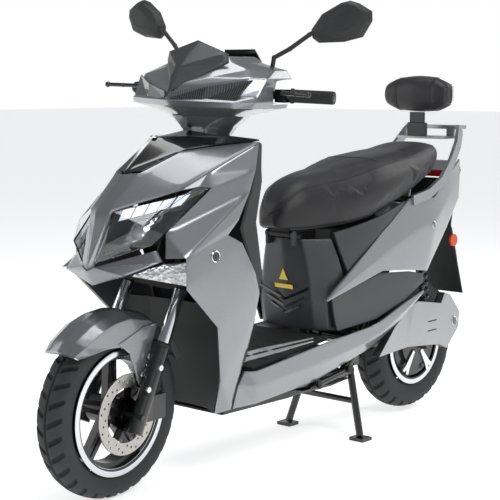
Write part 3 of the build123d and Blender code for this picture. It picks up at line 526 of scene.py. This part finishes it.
def finishes():
    """Every finish, made once and shared by the pieces."""
    if FINISHES:
        return FINISHES
    tones = bpy.context.scene.scooter_colours
    FINISHES.update(
        lacquer=metallic_lacquer(tones.body),
        gloss=moulded("abs_piano_black", shade(tones.gloss, 0.8), shade(tones.gloss, 1.2), 3.0,
                      0.01, (0.08, 0.14), 1.0),
        grained=moulded("polypropylene_grained", "#161718", "#1F2021", 0.9, 0.12, (0.5, 0.65)),
        satin=moulded("abs_satin_grey", shade(tones.panel, 0.85), shade(tones.panel, 1.15), 0.8,
                      0.06, (0.36, 0.48)),
        enamel=painted_steel("steel_stove_enamelled", "#0D0E0F", "#18191A"),
        cast_black=painted_steel("aluminium_cast_black", "#0B0B0C", "#1B1B1C", (0.3, 0.45)),
        powder=painted_steel("steel_powder_coated", "#2A2B2D", "#3A3B3D", (0.5, 0.65)),
        alloy=metal("aluminium_cast_satin", "#8F9194", "#B4B6B8", (0.28, 0.42), 1.6),
        chrome=metal("steel_chrome_plated", "#D4D6D8", "#E6E7E9", (0.05, 0.12), 30.0),
        polished=metal("aluminium_turned_bright", "#C4C6C8", "#DFE0E2", (0.12, 0.22), 4.0,
                       (1, 12, 12)),
        footplate=metal("aluminium_pressed_bright", "#D2D4D6", "#F0F1F2", (0.3, 0.42), 3.0,
                        plated=0.55),
        tyre=tyre_rubber(), vinyl=seat_vinyl(tones.seat), disc=disc_steel(),
        rubber=moulded("rubber_moulded", "#121213", "#1D1D1E", 1.4, 0.15, (0.6, 0.75)),
        clear=lens("polycarbonate_clear", "#F4F7FA"),
        smoke=smoked_cover(), reflector=reflector(),
        red=lens("acrylic_red", "#B01212", 0.06, 0.5),
        amber=lens("acrylic_amber", "#E0500C", 0.08, 0.35),
        white=glowing("light_guide_frosted", "#E9EEF5", 0.6),
        yellow=moulded("vinyl_sticker_yellow", "#F2CC2E", "#F8D840", 4.0, 0.01, (0.35, 0.45)),
        spring=painted_steel("spring_steel_coated", "#1B1C1D", "#2A2B2C"),
        mirror=metal("glass_silvered", "#DADDE0", "#E4E6E8", (0.01, 0.03), 50.0),
    )
    return FINISHES


# Settings ---------------------------------------------------------------------------------------
def colour_setting(label, use, code):
    """Colour property whose default is a hex value."""
    return bpy.props.FloatVectorProperty(name=label, description=use, size=4, min=0.0, max=1.0,
                                         default=linear(code), subtype="COLOR")


def length_setting(label, use, size_mm):
    """Length property whose default is given in millimetres."""
    return bpy.props.FloatProperty(name=label, description=use, default=size_mm * MM, min=0.0,
                                   unit="LENGTH", subtype="DISTANCE", precision=4)


class ScooterColours(bpy.types.PropertyGroup):
    """Colours a user would change"""
    body: colour_setting("Body", "Colour of the lacquered panels", "#7E8084")
    gloss: colour_setting("Gloss cover", "Colour of the glossy front cover", "#0A0A0C")
    panel: colour_setting("Dark panels", "Colour of the satin side panels", "#333437")
    seat: colour_setting("Seat", "Colour of the seat's vinyl", "#1C1C1E")


class ScooterSizes(bpy.types.PropertyGroup):
    """Sizes a user would change"""
    groove: length_setting("Tread depth", "Depth of the grooves in the tyres", 4.5)
    edge: length_setting("Panel edge", "Width of the eased edges of body panels", 2.2)
    piping: length_setting("Seam", "Radius of the seams on seat and backrest", 1.7)
    puff: length_setting("Seat swell", "Most that the upholstery swells", 4.0)


# Pieces -----------------------------------------------------------------------------------------
class SCOOTER_OT_body_panels(bpy.types.Operator):
    """Painted and moulded panels with eased edges"""
    bl_idname = "scooter.body_panels"
    bl_label = "Body panels"

    def execute(self, context):
        look = finishes()
        edge = context.scene.scooter_sizes.edge / MM
        for finish, nodes in {
            "lacquer": ("front_wings", "nose_panel", "nose_lip", "handlebar_cowl",
                        "front_mudguard", "floor_skirts", "tail_panels"),
            "gloss": ("top_cover",),
            "satin": ("visor", "seat_box", "side_panels"),
            "grained": ("leg_shield", "inner_mudguard", "belly_pan", "rear_mudguard"),
            "alloy": ("motor_covers",),
        }.items():
            for node in nodes:
                soften(node, look[finish], edge, curved=finish in ("lacquer", "gloss", "satin"))
        return {"FINISHED"}


class SCOOTER_OT_running_gear(bpy.types.Operator):
    """Frame, fork, stands, bars and the other parts that keep their machined shape"""
    bl_idname = "scooter.running_gear"
    bl_label = "Frame and running gear"

    def execute(self, context):
        look = finishes()
        paint(look["enamel"], "frame", "swingarm", "centre_stand", "side_stand", "handlebar",
              "brake_levers")
        paint(look["grained"], "storage_bucket", "seat_pan", "headlamp_housing")
        paint(look["powder"], "battery_pack")
        paint(look["disc"], "brake_disc")
        paint(look["rubber"], "brake_hose", "floorboard")
        paint(look["cast_black"], "front_rim", "rear_hub")
        for node, finish, edge in (("fork", "enamel", 1.5), ("brake_caliper", "cast_black", 1.5),
                                   ("grab_rail", "alloy", 2.5), ("backrest_bracket", "enamel", 2.0),
                                   ("mirrors", "grained", 3.0)):
            soften(node, look[finish], edge)
        return {"FINISHED"}


def wheel_points(centre, axis, along, radius, angle):
    """A point on a wheel: so far along its axle, at a radius, turned by an angle."""
    axis = unit(axis)
    first = unit(np.cross(axis, [0.0, 0.0, 1.0]))
    second = np.cross(axis, first)
    return (centre + along[..., None] * axis
            + radius[..., None] * (np.cos(angle)[..., None] * first
                                   + np.sin(angle)[..., None] * second))


def tyre(name, node, centre, axis, crown, half, bead, groove, sipes):
    """Cross-section carried round the wheel, pushed in along curved slanting grooves."""
    depth = crown - bead
    section = np.array([
        (-0.66, 0.0), (-0.86, 0.14), (-0.98, 0.38), (-1.0, 0.56), (-0.93, 0.74), (-0.74, 0.875),
        (-0.42, 0.965), (0.0, 1.0), (0.42, 0.965), (0.74, 0.875), (0.93, 0.74), (1.0, 0.56),
        (0.98, 0.38), (0.86, 0.14), (0.66, 0.0), (0.3, 0.06), (-0.3, 0.06)])
    ring = spline(section, 68, closed=True)
    angle = np.linspace(0, 2 * math.pi, 900, endpoint=False)[:, None]
    across, height = ring[:, 0][None], ring[:, 1][None]
    outer = np.clip((height - 0.72) / 0.08, 0, 1)
    slant = angle * sipes / (2 * math.pi) + 0.55 * np.abs(across) ** 1.4 + 0.5 * (across > 0)
    gap = np.abs((slant % 1.0) - 0.5)
    line = np.clip((0.17 - gap) / 0.05, 0, 1) * np.clip((np.abs(across) - 0.14) / 0.06, 0, 1)
    centre_line = np.clip((0.045 - np.abs(across)) / 0.02, 0, 1)
    cut = groove * outer * np.maximum(line, centre_line)
    radius = bead + depth * height - cut
    points = wheel_points(centre, axis, across * half + 0 * angle, radius, angle + 0 * across)
    made = piece(name, points, grid_faces(*points.shape[:2], True, True), finishes()["tyre"],
                 BODY_OF[node], crease=32)
    # the groove mask is stored on the tyre for the painted shade in its tread grooves
    if len(made.data.vertices) == cut.size:
        made.data.attributes.new("cut", "FLOAT", "POINT").data.foreach_set(
            "value", (cut / groove).ravel())
    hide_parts(node)
    return made


class SCOOTER_OT_tyres(bpy.types.Operator):
    """Two tyres with a cut tread"""
    bl_idname = "scooter.tyres"
    bl_label = "Tyres"

    def execute(self, context):
        groove = context.scene.scooter_sizes.groove / MM
        tyre("front_tread", "front_tyre", FRONT_CENTRE, FRONT_AXIS, FRONT_CROWN, FRONT_HALF,
             FRONT_BEAD, groove, FRONT_GROOVES)
        tyre("rear_tread", "rear_tyre", REAR_CENTRE, ACROSS, REAR_CROWN, REAR_HALF, REAR_BEAD,
             groove, REAR_GROOVES)
        for name, centre, axis, body, lip, reach in (
            ("front_rim_lip", FRONT_CENTRE, FRONT_AXIS, "front_wheel", FRONT_LIP, 43.0),
            ("rear_rim_lip", REAR_CENTRE, ACROSS, "rear_wheel", REAR_LIP, 45.5),
        ):
            ring = [(-1.5, lip - 13), (1.4, lip - 14), (1.8, lip - 3), (0.8, lip + 0.5),
                    (-2.0, lip), (-2.5, lip - 6)]
            ring = [(reach + a, r) for a, r in ring]
            back = [(-a, r) for a, r in ring]
            for end, profile in (("left", ring), ("right", back)):
                turned(f"{name}_{end}", profile + profile[:1], centre, axis,
                       finishes()["polished"], body, around=128, edge=0.0)
        turned("front_rim_step", [(-41, 151), (-39, 146), (39, 146), (41, 151), (39, 149),
                                  (-39, 149), (-41, 151)], FRONT_CENTRE, FRONT_AXIS,
               finishes()["polished"], "front_wheel", around=128)
        blade = [(34, -6), (92, -12), (112, -18), (116, -8), (104, 0), (116, 8), (112, 18),
                 (92, 12), (34, 6)]
        for number in range(5):
            angle = math.radians(72 * number + 18)
            out = np.array([0, math.cos(angle), math.sin(angle)])
            plate(f"hub_blade_{number}", blade, REAR_CENTRE + ACROSS * 57.5, out,
                  np.cross(ACROSS, out), 5, finishes()["chrome"], "rear_wheel", edge=1.2)
        return {"FINISHED"}


class SCOOTER_OT_fork_details(bpy.types.Operator):
    """Chromed stanchions, dust seals, bolt heads and springs"""
    bl_idname = "scooter.fork_details"
    bl_label = "Fork and shock details"

    def execute(self, context):
        look = finishes()
        axis = turn(STEER_POINT + STEER_AXIS, STEER_POINT, STEER_AXIS, STEER_REST) - STEER_POINT
        legs = steered([on_fork(x, -10, 198) for x in (-LEG_X, LEG_X)])
        turned("stanchions", [(0, 15.9), (0.1, 16.4), (148, 16.4), (148.1, 15.9)], legs, axis,
               look["chrome"], "steering", around=48)
        turned("dust_seals", [(-8, 21), (-8, 24.5), (-1, 24.5), (4, 20), (4, 16)], legs, axis,
               look["rubber"], "steering", around=48)
        bolts = steered([(112, -582, 347), (112, -627, 298), (80, -586, 373), (82, -613, 330)])
        turned("fork_bolts", [(0, 0.01), (4.5, 0.01), (5.5, 4), (5.5, 7.5), (0, 8)], bolts,
               FRONT_AXIS, look["chrome"], "steering", around=12, crease=30)
        for side in (-1, 1):
            low, high = (np.array(end) * (side, 1, 1) for end in (SHOCK_FOOT, SHOCK_HEAD))
            run = unit(high - low)
            first = unit(np.cross(run, ACROSS))
            second = np.cross(run, first)
            t = np.linspace(0, 1, 420)[:, None]
            coil = low + run * (75 + 190 * t) + 17.0 * (np.cos(t * 17 * math.pi) * first
                                                       + np.sin(t * 17 * math.pi) * second)
            spring = tube(f"shock_spring_{'left' if side > 0 else 'right'}", coil, 3.6,
                          look["spring"], "chassis", sides=10, smooth=False)
            damper = turned(f"shock_damper_{'left' if side > 0 else 'right'}",
                            [(0, 0.01), (0, 15), (55, 15), (56, 19.8), (73, 19.8), (74, 9.5),
                             (262, 9.5), (263, 19.8), (276, 19.8), (277, 13), (309, 13),
                             (309.5, 0.01)], low, run, look["enamel"], "chassis", around=32)
            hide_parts("rear_shocks")
            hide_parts("rear_shocks")
        return {"FINISHED"}


class SCOOTER_OT_lamps(bpy.types.Operator):
    """Lenses, light guides and reflector bowls"""
    bl_idname = "scooter.lamps"
    bl_label = "Lamps"

    def execute(self, context):
        look = finishes()
        paint(look["clear"], "headlamp_lenses")
        paint(look["smoke"], "position_lamp")
        paint(look["reflector"], "front_indicators")
        paint(look["red"], "tail_lamp")
        paint(look["amber"], "side_reflectors")
        for side, word in ((1, "left"), (-1, "right")):
            corners = np.array(LAMP_CORNERS) * (side, 1, 1)
            if side < 0:
                corners = corners[[1, 0, 3, 2]]

            def span(low, high, bottom, top):
                return (low, high, bottom, top) if side > 0 else (1 - high, 1 - low, bottom, top)

            patch(f"lamp_bezel_{word}", corners, span(0, 1, 0, 1), -6, 3, look["gloss"],
                  "chassis")
            for number in range(5):
                low = 0.1 + 0.155 * number
                patch(f"running_light_{word}_{number}", corners,
                      span(low, low + 0.128, 0.74, 0.95), 5 + number, 4, look["white"],
                      "chassis", edge=0.8)
            patch(f"lamp_frame_{word}", corners, span(0.3, 0.68, 0.12, 0.64), 6, 10,
                  look["gloss"], "chassis", edge=1.2)
            patch(f"lamp_reflector_{word}", corners, span(0.34, 0.64, 0.17, 0.59), 8, 3,
                  look["reflector"], "chassis", bulge=5)
            patch(f"lamp_fin_{word}", corners, span(0.1, 0.26, 0.1, 0.16), 4, 4,
                  look["satin"], "chassis", edge=0.8)
        return {"FINISHED"}


SEAT_LINES = [  # y, underside, crown, half width, half width of the crown
    (-27, 656, 689, 30, 20), (-10, 650, 727, 51, 38), (10, 650, 751, 65, 50),
    (40, 650, 775, 81, 62), (80, 650.5, 790, 96, 74), (138, 653, 801, 115, 88),
    (200, 657.5, 810, 133, 102), (280, 667.5, 827, 145, 112), (348, 688, 840, 149, 118),
    (454, 718, 852, 145, 116), (534, 746, 860, 136, 108), (632, 785, 876, 119, 94),
    (680, 816, 880, 103, 82), (699, 838, 868, 76, 60),
]
PAD_LINES = [  # x, bottom, top, thickness
    (-122, 1004, 1050, 25), (-112, 992, 1062, 33), (-80, 978, 1076, 39), (-66, 975, 1079, 37.5),
    (0, 972, 1084, 43), (66, 975, 1079, 37.5), (80, 978, 1076, 39), (112, 992, 1062, 33),
    (122, 1004, 1050, 25),
]


def swelled(made, most_mm, held_below=None, held_behind=None):
    """Cloth blown up a little from inside, its movement capped, then subdivided once."""
    bpy.context.view_layer.objects.active = made
    remesh = made.modifiers.new("remesh", "REMESH")
    remesh.mode = "VOXEL"
    remesh.voxel_size = VOXEL
    bpy.ops.object.modifier_apply(modifier=remesh.name)
    count = len(made.data.vertices)
    start = np.empty(count * 3)
    made.data.vertices.foreach_get("co", start)
    start = start.reshape(-1, 3)
    held = start[:, 2] < held_below if held_below is not None else start[:, 1] > held_behind
    group = made.vertex_groups.new(name="held")
    group.add(np.nonzero(held)[0].tolist(), 1.0, "REPLACE")
    cloth = made.modifiers.new("cloth", "CLOTH")
    cloth.settings.use_pressure = True
    cloth.settings.bending_stiffness = 6.0
    cloth.settings.uniform_pressure_force = 3.0
    cloth.settings.vertex_group_mass = "held"
    cloth.settings.effector_weights.gravity = 0.0
    cloth.point_cache.frame_start, cloth.point_cache.frame_end = 1, SWELL_STEPS
    for step in range(1, SWELL_STEPS + 1):
        bpy.context.scene.frame_set(step)
    shape = made.evaluated_get(bpy.context.evaluated_depsgraph_get()).data
    end = np.empty(count * 3)
    shape.vertices.foreach_get("co", end)
    move = end.reshape(-1, 3) - start
    length = np.linalg.norm(move, axis=1, keepdims=True)
    move *= np.minimum(1.0, most_mm * MM / np.maximum(length, 1e-9))
    made.modifiers.remove(cloth)
    made.vertex_groups.remove(group)
    made.data.vertices.foreach_set("co", (start + move).ravel())
    bpy.context.scene.frame_set(1)
    made.data.update()
    made.data.shade_smooth()
    made.modifiers.new("smooth", "SUBSURF")
    made.modifiers["smooth"].levels = made.modifiers["smooth"].render_levels = 1


def laid_on(made, points):
    """Moves points to the nearest place on a piece's skin."""
    bpy.context.view_layer.update()
    skin = made.evaluated_get(bpy.context.evaluated_depsgraph_get())
    metres = (np.array(points) * MM).tolist()
    return np.array([skin.closest_point_on_mesh(point)[1] for point in metres]) / MM


def seat_sections():
    """Ring of points round each cross-section: flat below, sides pulled in, a crowned top."""
    rings = []
    room = 4.0  # left for the swelling, so that the finished seat ends at its own outline
    for y, low, high, half, top in SEAT_LINES:
        high, half, top = high - room, half - room * 0.7, top - room * 0.7
        rise = high - low
        side = [(half * 0.9, low), (half * 0.985, low + rise * 0.16), (half, low + rise * 0.38),
                (half * 0.97, low + rise * 0.62), (top * 1.04, low + rise * 0.86),
                (top * 0.72, low + rise * 0.965), (top * 0.34, high)]
        rings.append([(x, y, z) for x, z in side] + [(0, y, high)]
                     + [(-x, y, z) for x, z in side[::-1]] + [(-half * 0.45, y, low - 0.2),
                                                             (half * 0.45, y, low - 0.2)])
    return np.array(rings, float)


class SCOOTER_OT_seat(bpy.types.Operator):
    """Long padded seat with its seams"""
    bl_idname = "scooter.seat"
    bl_label = "Seat"

    def execute(self, context):
        sizes = context.scene.scooter_sizes
        look = finishes()
        rings = seat_sections()
        seat = loft("seat_upholstery", rings, look["vinyl"], "seat", rows=110, columns=96,
                    crease=60)
        swelled(seat, sizes.puff / MM, held_below=0.662)
        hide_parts("seat_cushion")
        radius = sizes.piping / MM
        left = [ring[4] * (0.985, 1, 1) for ring in rings[1:-1]]
        right = [ring * (-1, 1, 1) for ring in left][::-1]
        nose = [rings[0][6] + (0, 0, 2), rings[0][7] + (0, 0, 2)]
        line = spline(right + nose + left, 300)
        tube("seat_seam", laid_on(seat, line), radius, look["vinyl"], "seat", sides=8,
             smooth=False)
        y, _, high, _, top = SEAT_LINES[8]
        t = np.linspace(-1, 1, 60)
        bar = np.stack([t * top, y + 26 * t ** 2 - 14, high + 12 + 0 * t], -1)
        tube("seat_seam_rider", laid_on(seat, bar), radius, look["vinyl"], "seat", sides=8,
             smooth=False)
        return {"FINISHED"}


def pad_sections():
    """Ring round each cross-section of the backrest: rounded front, flatter back."""
    rings = []
    for x, low, high, thick in PAD_LINES:
        y, mid = 716 + abs(x) * 0.02, (low + high) / 2
        tall = (high - low) / 2
        angle = np.linspace(0, 2 * math.pi, 16, endpoint=False)
        front = np.sign(np.cos(angle)) * np.abs(np.cos(angle)) ** 0.7
        depth = np.where(front > 0, front * thick, front * 7)
        rings.append(np.stack([np.full(16, float(x)), y - depth,
                               mid + tall * np.sign(np.sin(angle)) * np.abs(np.sin(angle)) ** 0.8],
                              -1))
    return np.array(rings)


class SCOOTER_OT_backrest(bpy.types.Operator):
    """Backrest pad with a bright back trim"""
    bl_idname = "scooter.backrest"
    bl_label = "Backrest"

    def execute(self, context):
        sizes = context.scene.scooter_sizes
        look = finishes()
        rings = pad_sections()
        pad = loft("backrest_upholstery", rings, look["vinyl"], "chassis", rows=90, columns=64,
                   crease=60)
        swelled(pad, sizes.puff / MM * 0.6, held_behind=0.712)
        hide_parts("backrest_pad")
        for word, index in (("left", 5), ("right", 3)):
            ring = rings[index]
            front = ring[[12, 13, 14, 15, 0, 1, 2, 3, 4]]
            tube(f"backrest_seam_{word}", laid_on(pad, spline(front, 80)), sizes.piping / MM,
                 look["vinyl"], "chassis", sides=8, smooth=False)
        edge = [np.array((x, 716 + abs(x) * 0.02 + 4.0, high - 2.0)) for x, _, high, _ in PAD_LINES]
        low = [np.array((x, 716 + abs(x) * 0.02 + 4.0, bottom + 2.0))
               for x, bottom, _, _ in PAD_LINES][::-1]
        tube("backrest_trim", spline(edge + low, 200, closed=True), 3.6, look["polished"],
             "chassis", sides=10, smooth=False)
        return {"FINISHED"}


class SCOOTER_OT_badges(bpy.types.Operator):
    """Blank round badges with bright rims, and a plug on the handlebar cowl"""
    bl_idname = "scooter.badges"
    bl_label = "Blank badges"

    def execute(self, context):
        look = finishes()
        for name, spot, node, radius in (
            ("wing", (226, -470, 628), "front_wings", 15),
            ("tail", (170, 591, 622), "tail_panels", 12),
            ("cover", (150, 742, 297), "motor_covers", 15),
        ):
            for side, word in ((1, "left"), (-1, "right")):
                place, face = resting(bpy.data.objects[node + "_skin"],
                                      np.array(spot) * (side, 1, 1))
                rim = [(-3, 0.01), (-3, radius), (2.2, radius), (3, radius - 1),
                       (2.2, radius - 2.4), (1.6, radius - 2.6), (1.6, 0.01)]
                turned(f"badge_{name}_{word}", rim, place, face, look["chrome"], "chassis",
                       around=56, crease=30)
                turned(f"badge_field_{name}_{word}", [(1.0, 0.01), (1.0, radius - 2.6),
                                                      (1.9, radius - 3.2), (2.3, 0.01)],
                       place, face, look["gloss"], "chassis",
                       around=48)
        cover = bpy.data.objects["top_cover_skin"]
        place, face = resting(cover, (0, -479, 930))
        turned("cover_badge", [(0, 0.01), (0, 10), (1.6, 10), (2.4, 8.6), (1.4, 7.6), (1.4, 0.01)],
               place, face, look["chrome"], "chassis", around=48, crease=30)
        neck = bpy.data.objects["handlebar_cowl_skin"]
        place, face = resting(neck, steered((0, -360, 947)))
        turned("neck_plug", [(-1, 0.01), (-1, 8), (1.2, 8), (2, 7), (2.2, 0.01)], place, face,
               look["grained"], "steering", around=40)
        return {"FINISHED"}


class SCOOTER_OT_handlebar_details(bpy.types.Operator):
    """Ribbed grips, mirror glass and a dash display"""
    bl_idname = "scooter.handlebar_details"
    bl_label = "Handlebar details"

    def execute(self, context):
        look = finishes()
        for side, word in ((1, "left"), (-1, "right")):
            start = steered(np.array(GRIP_INNER) * (side, 1, 1))
            end = steered(np.array(GRIP_OUTER) * (side, 1, 1))
            length = np.linalg.norm(end - start)
            along = np.linspace(0, length - 8, 220)
            ribs = 16.6 + 0.9 * (np.abs((along / 5.5) % 1.0 - 0.5) < 0.32)
            ribs = np.where(along < 6, 20.0, ribs)
            profile = [(0, 0.01)] + list(zip(along, ribs)) + [(length - 7.5, 17.5),
                                                             (length, 16.5), (length, 0.01)]
            grip = turned(f"grip_{word}", profile, start, end - start, look["rubber"], "steering",
                          around=40, crease=25)
            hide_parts("grips")
            yaw = math.radians(MIRROR_YAW)
            centre = np.array(MIRROR_CENTRE) * (side, 1, 1)
            across = np.array([math.cos(yaw) * side, math.sin(yaw), 0])
            glass = np.array([(-84, -20), (-80, -38), (-64, -48), (0, -44), (46, -31), (68, 6),
                              (66, 26), (34, 44), (13, 49), (-9, 44), (-57, 18)], float)
            right = -across * side
            right = steered(centre + right) - steered(centre)
            housing = bpy.data.objects["mirrors_skin"]
            behind = steered(centre + (20 * side, 90, 0))
            place, _ = resting(housing, behind)
            facing = unit(np.cross(right, [0.0, 0.0, 1.0]))
            middle = steered(centre)
            middle = middle + facing * ((place - middle) @ facing + 0.8)
            outline = glass * (-1, 1) if side > 0 else glass
            plate(f"mirror_glass_{word}", outline, middle, right, (0, 0, 1), 1.6,
                  look["mirror"], "steering", edge=0.4)
        cowl = bpy.data.objects["handlebar_cowl_skin"]
        decal("dash_display", cowl, steered(np.array((0, -120, 1150.0))),
              [(-58, -20), (58, -20), (48, 22), (-48, 22)], 0.8, 3, look["gloss"])
        return {"FINISHED"}


class SCOOTER_OT_footboard(bpy.types.Operator):
    """Bright foot plates on the rubber mat"""
    bl_idname = "scooter.footboard"
    bl_label = "Footboard"

    def execute(self, context):
        look = finishes()
        slope = math.radians(FLOOR_SLOPE)
        run = np.array([0, math.cos(slope), math.sin(slope)])
        top = np.array(FLOOR_TOP)
        for side, word in ((1, "left"), (-1, "right")):
            blades = {
                "outer": [(-40, -150), (-10, -152), (24, -20), (44, 96), (40, 98), (6, 0)],
                "inner": [(-84, -146), (-60, -148), (-24, -30), (24, 120), (20, 122), (-44, -14)],
                "front": [(-84, -146), (-40, -150), (-42, -140), (-80, -136)],
                "brace": [(-66, -90), (-30, -92), (-27, -84), (-63, -82)],
                "rear": [(-46, -32), (0, -34), (3, -25), (-43, -23)],
            }
            for part, outline in blades.items():
                outline = [(x * side, y) for x, y in outline][::side]
                plate(f"foot_plate_{word}_{part}", outline,
                      top + ACROSS * side * 104 + run * 8 + (0, 0, 2.6), ACROSS, run, 2.8,
                      look["footplate"], "chassis", edge=0.7)
            for number, y in enumerate((-110, -60, -10, 40, 90)):
                tube(f"mat_rib_{word}_{number}",
                     [top + ACROSS * (side * x) + run * (y + x * 0.2) for x in (20, 60, 100, 140)],
                     1.6, look["rubber"], "chassis", count=16, sides=8)
        return {"FINISHED"}


class SCOOTER_OT_seat_box_details(bpy.types.Operator):
    """Slanted vents, hook and blank stickers on the front of the seat box, and slots on the motor
    covers
    """
    bl_idname = "scooter.seat_box_details"
    bl_label = "Seat box details"

    def execute(self, context):
        look = finishes()
        box = bpy.data.objects["seat_box_skin"]
        for number, (z, half, rise, tall) in enumerate(((430, 84, 38, 9), (408, 70, 32, 8),
                                                       (388, 54, 26, 8))):
            slope = [(-half, rise), (0, 0), (half, rise), (half, rise + tall), (0, tall),
                     (-half, rise + tall)]
            decal(f"box_vent_{number}", box, (0, 40, z), slope, 1.6, 4, look["gloss"])
        decal("box_warning_blank", box, (0, 40, 508), [(-18, -15), (18, -15), (0, 18)], 0.5, 1,
              look["yellow"])
        decal("box_strip_blank", box, (0, 40, 474), [(-36, -6), (36, -6), (36, 6), (-36, 6)],
              0.5, 1, look["yellow"])
        place, facing = resting(box, (0, 40, 583))
        turned("bag_hook_base", [(0, 0.01), (0, 20), (3, 20), (5, 17), (5, 0.01)], place, facing,
               look["grained"], "chassis", around=40)
        turned("bag_hook_screws", [(4, 0.01), (4, 4.2), (6.5, 4), (7.5, 2), (7.6, 0.01)],
               [place + (-10, 0, 2), place + (10, 0, 2)], facing, look["chrome"], "chassis",
               around=20)
        tube("bag_hook", [place + facing * 4, place + facing * 16 + (0, 0, -2),
                          place + facing * 20 + (0, 0, -14), place + facing * 14 + (0, 0, -20)],
             3.0, look["enamel"], "chassis", sides=14)
        cover = bpy.data.objects["motor_covers_skin"]
        for side, word in ((1, "left"), (-1, "right")):
            for number, z in enumerate((314, 284)):
                decal(f"cover_slot_{word}_{number}", cover, (134 * side, 610, z),
                      [(-26, -2), (26, -2), (26, 2), (-26, 2)], 0.5, 2, look["grained"])
        return {"FINISHED"}


class SCOOTER_OT_stage(bpy.types.Operator):
    """Pale floor, soft lights and the camera"""
    bl_idname = "scooter.stage"
    bl_label = "Floor, lights and camera"

    def execute(self, context):
        scene = context.scene
        material, tree, shader, place = begin("floor_painted_board", {
            "Roughness": 0.8, "Emission Color": linear("#FFFFFF"), "Emission Strength": 0.62})
        grain = add(tree, "TexNoise", {"Scale": 3.0, "Detail": 3.0}, {"Vector": place})
        tinted(tree, shader, grain.outputs[0], "#F4F4F4", "#F9F9F9")
        mesh = bpy.data.meshes.new("floor")
        reach = 40.0
        mesh.from_pydata([(-reach, -reach, 0), (reach, -reach, 0), (reach, reach, 0),
                          (-reach, reach, 0)], [], [(0, 1, 2, 3)])
        mesh.materials.append(material)
        floor = bpy.data.objects.new("floor", mesh)
        scene.collection.objects.link(floor)
        world = bpy.data.worlds.new("studio")
        world.use_nodes = True
        sky = world.node_tree
        facing = add(sky, "TexCoord").outputs["Generated"]
        height = add(sky, "SeparateXYZ", links={0: facing}).outputs[2]
        fade = add(sky, "ValToRGB", links={0: height})
        fade.color_ramp.elements[0].position, fade.color_ramp.elements[1].position = 0.1, 0.38
        fade.color_ramp.elements[0].color = linear("#FFFFFF")
        fade.color_ramp.elements[1].color = linear("#76787C")
        sky.links.new(fade.outputs[0], sky.nodes["Background"].inputs[0])
        sky.nodes["Background"].inputs[1].default_value = 1.0
        scene.world = world
        scene.view_settings.view_transform = "Standard"
        for name, spot, size, power in (
            ("key", (3.4, -1.2, 3.4), 1.6, 75), ("fill", (-3.2, -2.6, 2.4), 2.2, 30),
            ("back", (1.2, 3.4, 3.0), 2.2, 45), ("top", (0.0, 0.0, 4.0), 2.0, 50),
        ):
            light = bpy.data.lights.new(name, "AREA")
            light.size, light.energy = size, power
            made = bpy.data.objects.new(name, light)
            made.location = spot
            aim = Vector((0, 0, 0.55)) - Vector(spot)
            made.rotation_euler = aim.to_track_quat("-Z", "Y").to_euler()
            scene.collection.objects.link(made)
        turned_by, down = math.radians(CAMERA_TURN), math.radians(CAMERA_DOWN)
        aim = Vector((-math.sin(turned_by) * math.cos(down),
                      math.cos(turned_by) * math.cos(down), -math.sin(down)))
        lens = bpy.data.cameras.new("camera")
        lens.lens, lens.sensor_width = CAMERA_LENS, 36.0
        lens.shift_x, lens.shift_y = CAMERA_SHIFT
        camera = bpy.data.objects.new("camera", lens)
        camera.location = CAMERA_PLACE
        camera.rotation_euler = aim.to_track_quat("-Z", "Y").to_euler()
        scene.collection.objects.link(camera)
        scene.camera = camera
        return {"FINISHED"}


OPERATORS = (
    SCOOTER_OT_body_panels, SCOOTER_OT_running_gear, SCOOTER_OT_tyres, SCOOTER_OT_fork_details,
    SCOOTER_OT_lamps, SCOOTER_OT_seat, SCOOTER_OT_backrest, SCOOTER_OT_badges,
    SCOOTER_OT_handlebar_details, SCOOTER_OT_footboard,
    SCOOTER_OT_seat_box_details, SCOOTER_OT_stage,
)


class SCOOTER_PT_sidebar(bpy.types.Panel):
    """Lists the scooter's pieces with their colours and sizes"""
    bl_idname = "SCOOTER_PT_sidebar"
    bl_label = "Electric scooter"
    bl_space_type = "VIEW_3D"
    bl_region_type = "UI"
    bl_category = "Scooter"

    def draw(self, context):
        for group in (context.scene.scooter_colours, context.scene.scooter_sizes):
            for name in group.__annotations__:
                self.layout.prop(group, name)
        for operator in OPERATORS:
            self.layout.operator(operator.bl_idname)


CLASSES = (ScooterColours, ScooterSizes, *OPERATORS, SCOOTER_PT_sidebar)


def register():
    """Registers the classes and hangs the settings on the scene."""
    for kind in CLASSES:
        bpy.utils.register_class(kind)
    bpy.types.Scene.scooter_colours = bpy.props.PointerProperty(type=ScooterColours)
    bpy.types.Scene.scooter_sizes = bpy.props.PointerProperty(type=ScooterSizes)


def unregister():
    """Undoes register."""
    del bpy.types.Scene.scooter_sizes
    del bpy.types.Scene.scooter_colours
    for kind in reversed(CLASSES):
        bpy.utils.unregister_class(kind)


def main():
    """Builds every piece in order."""
    register()
    for operator in OPERATORS:
        group, name = operator.bl_idname.split(".")
        getattr(getattr(bpy.ops, group), name)()


if __name__ == "__main__":
    main()
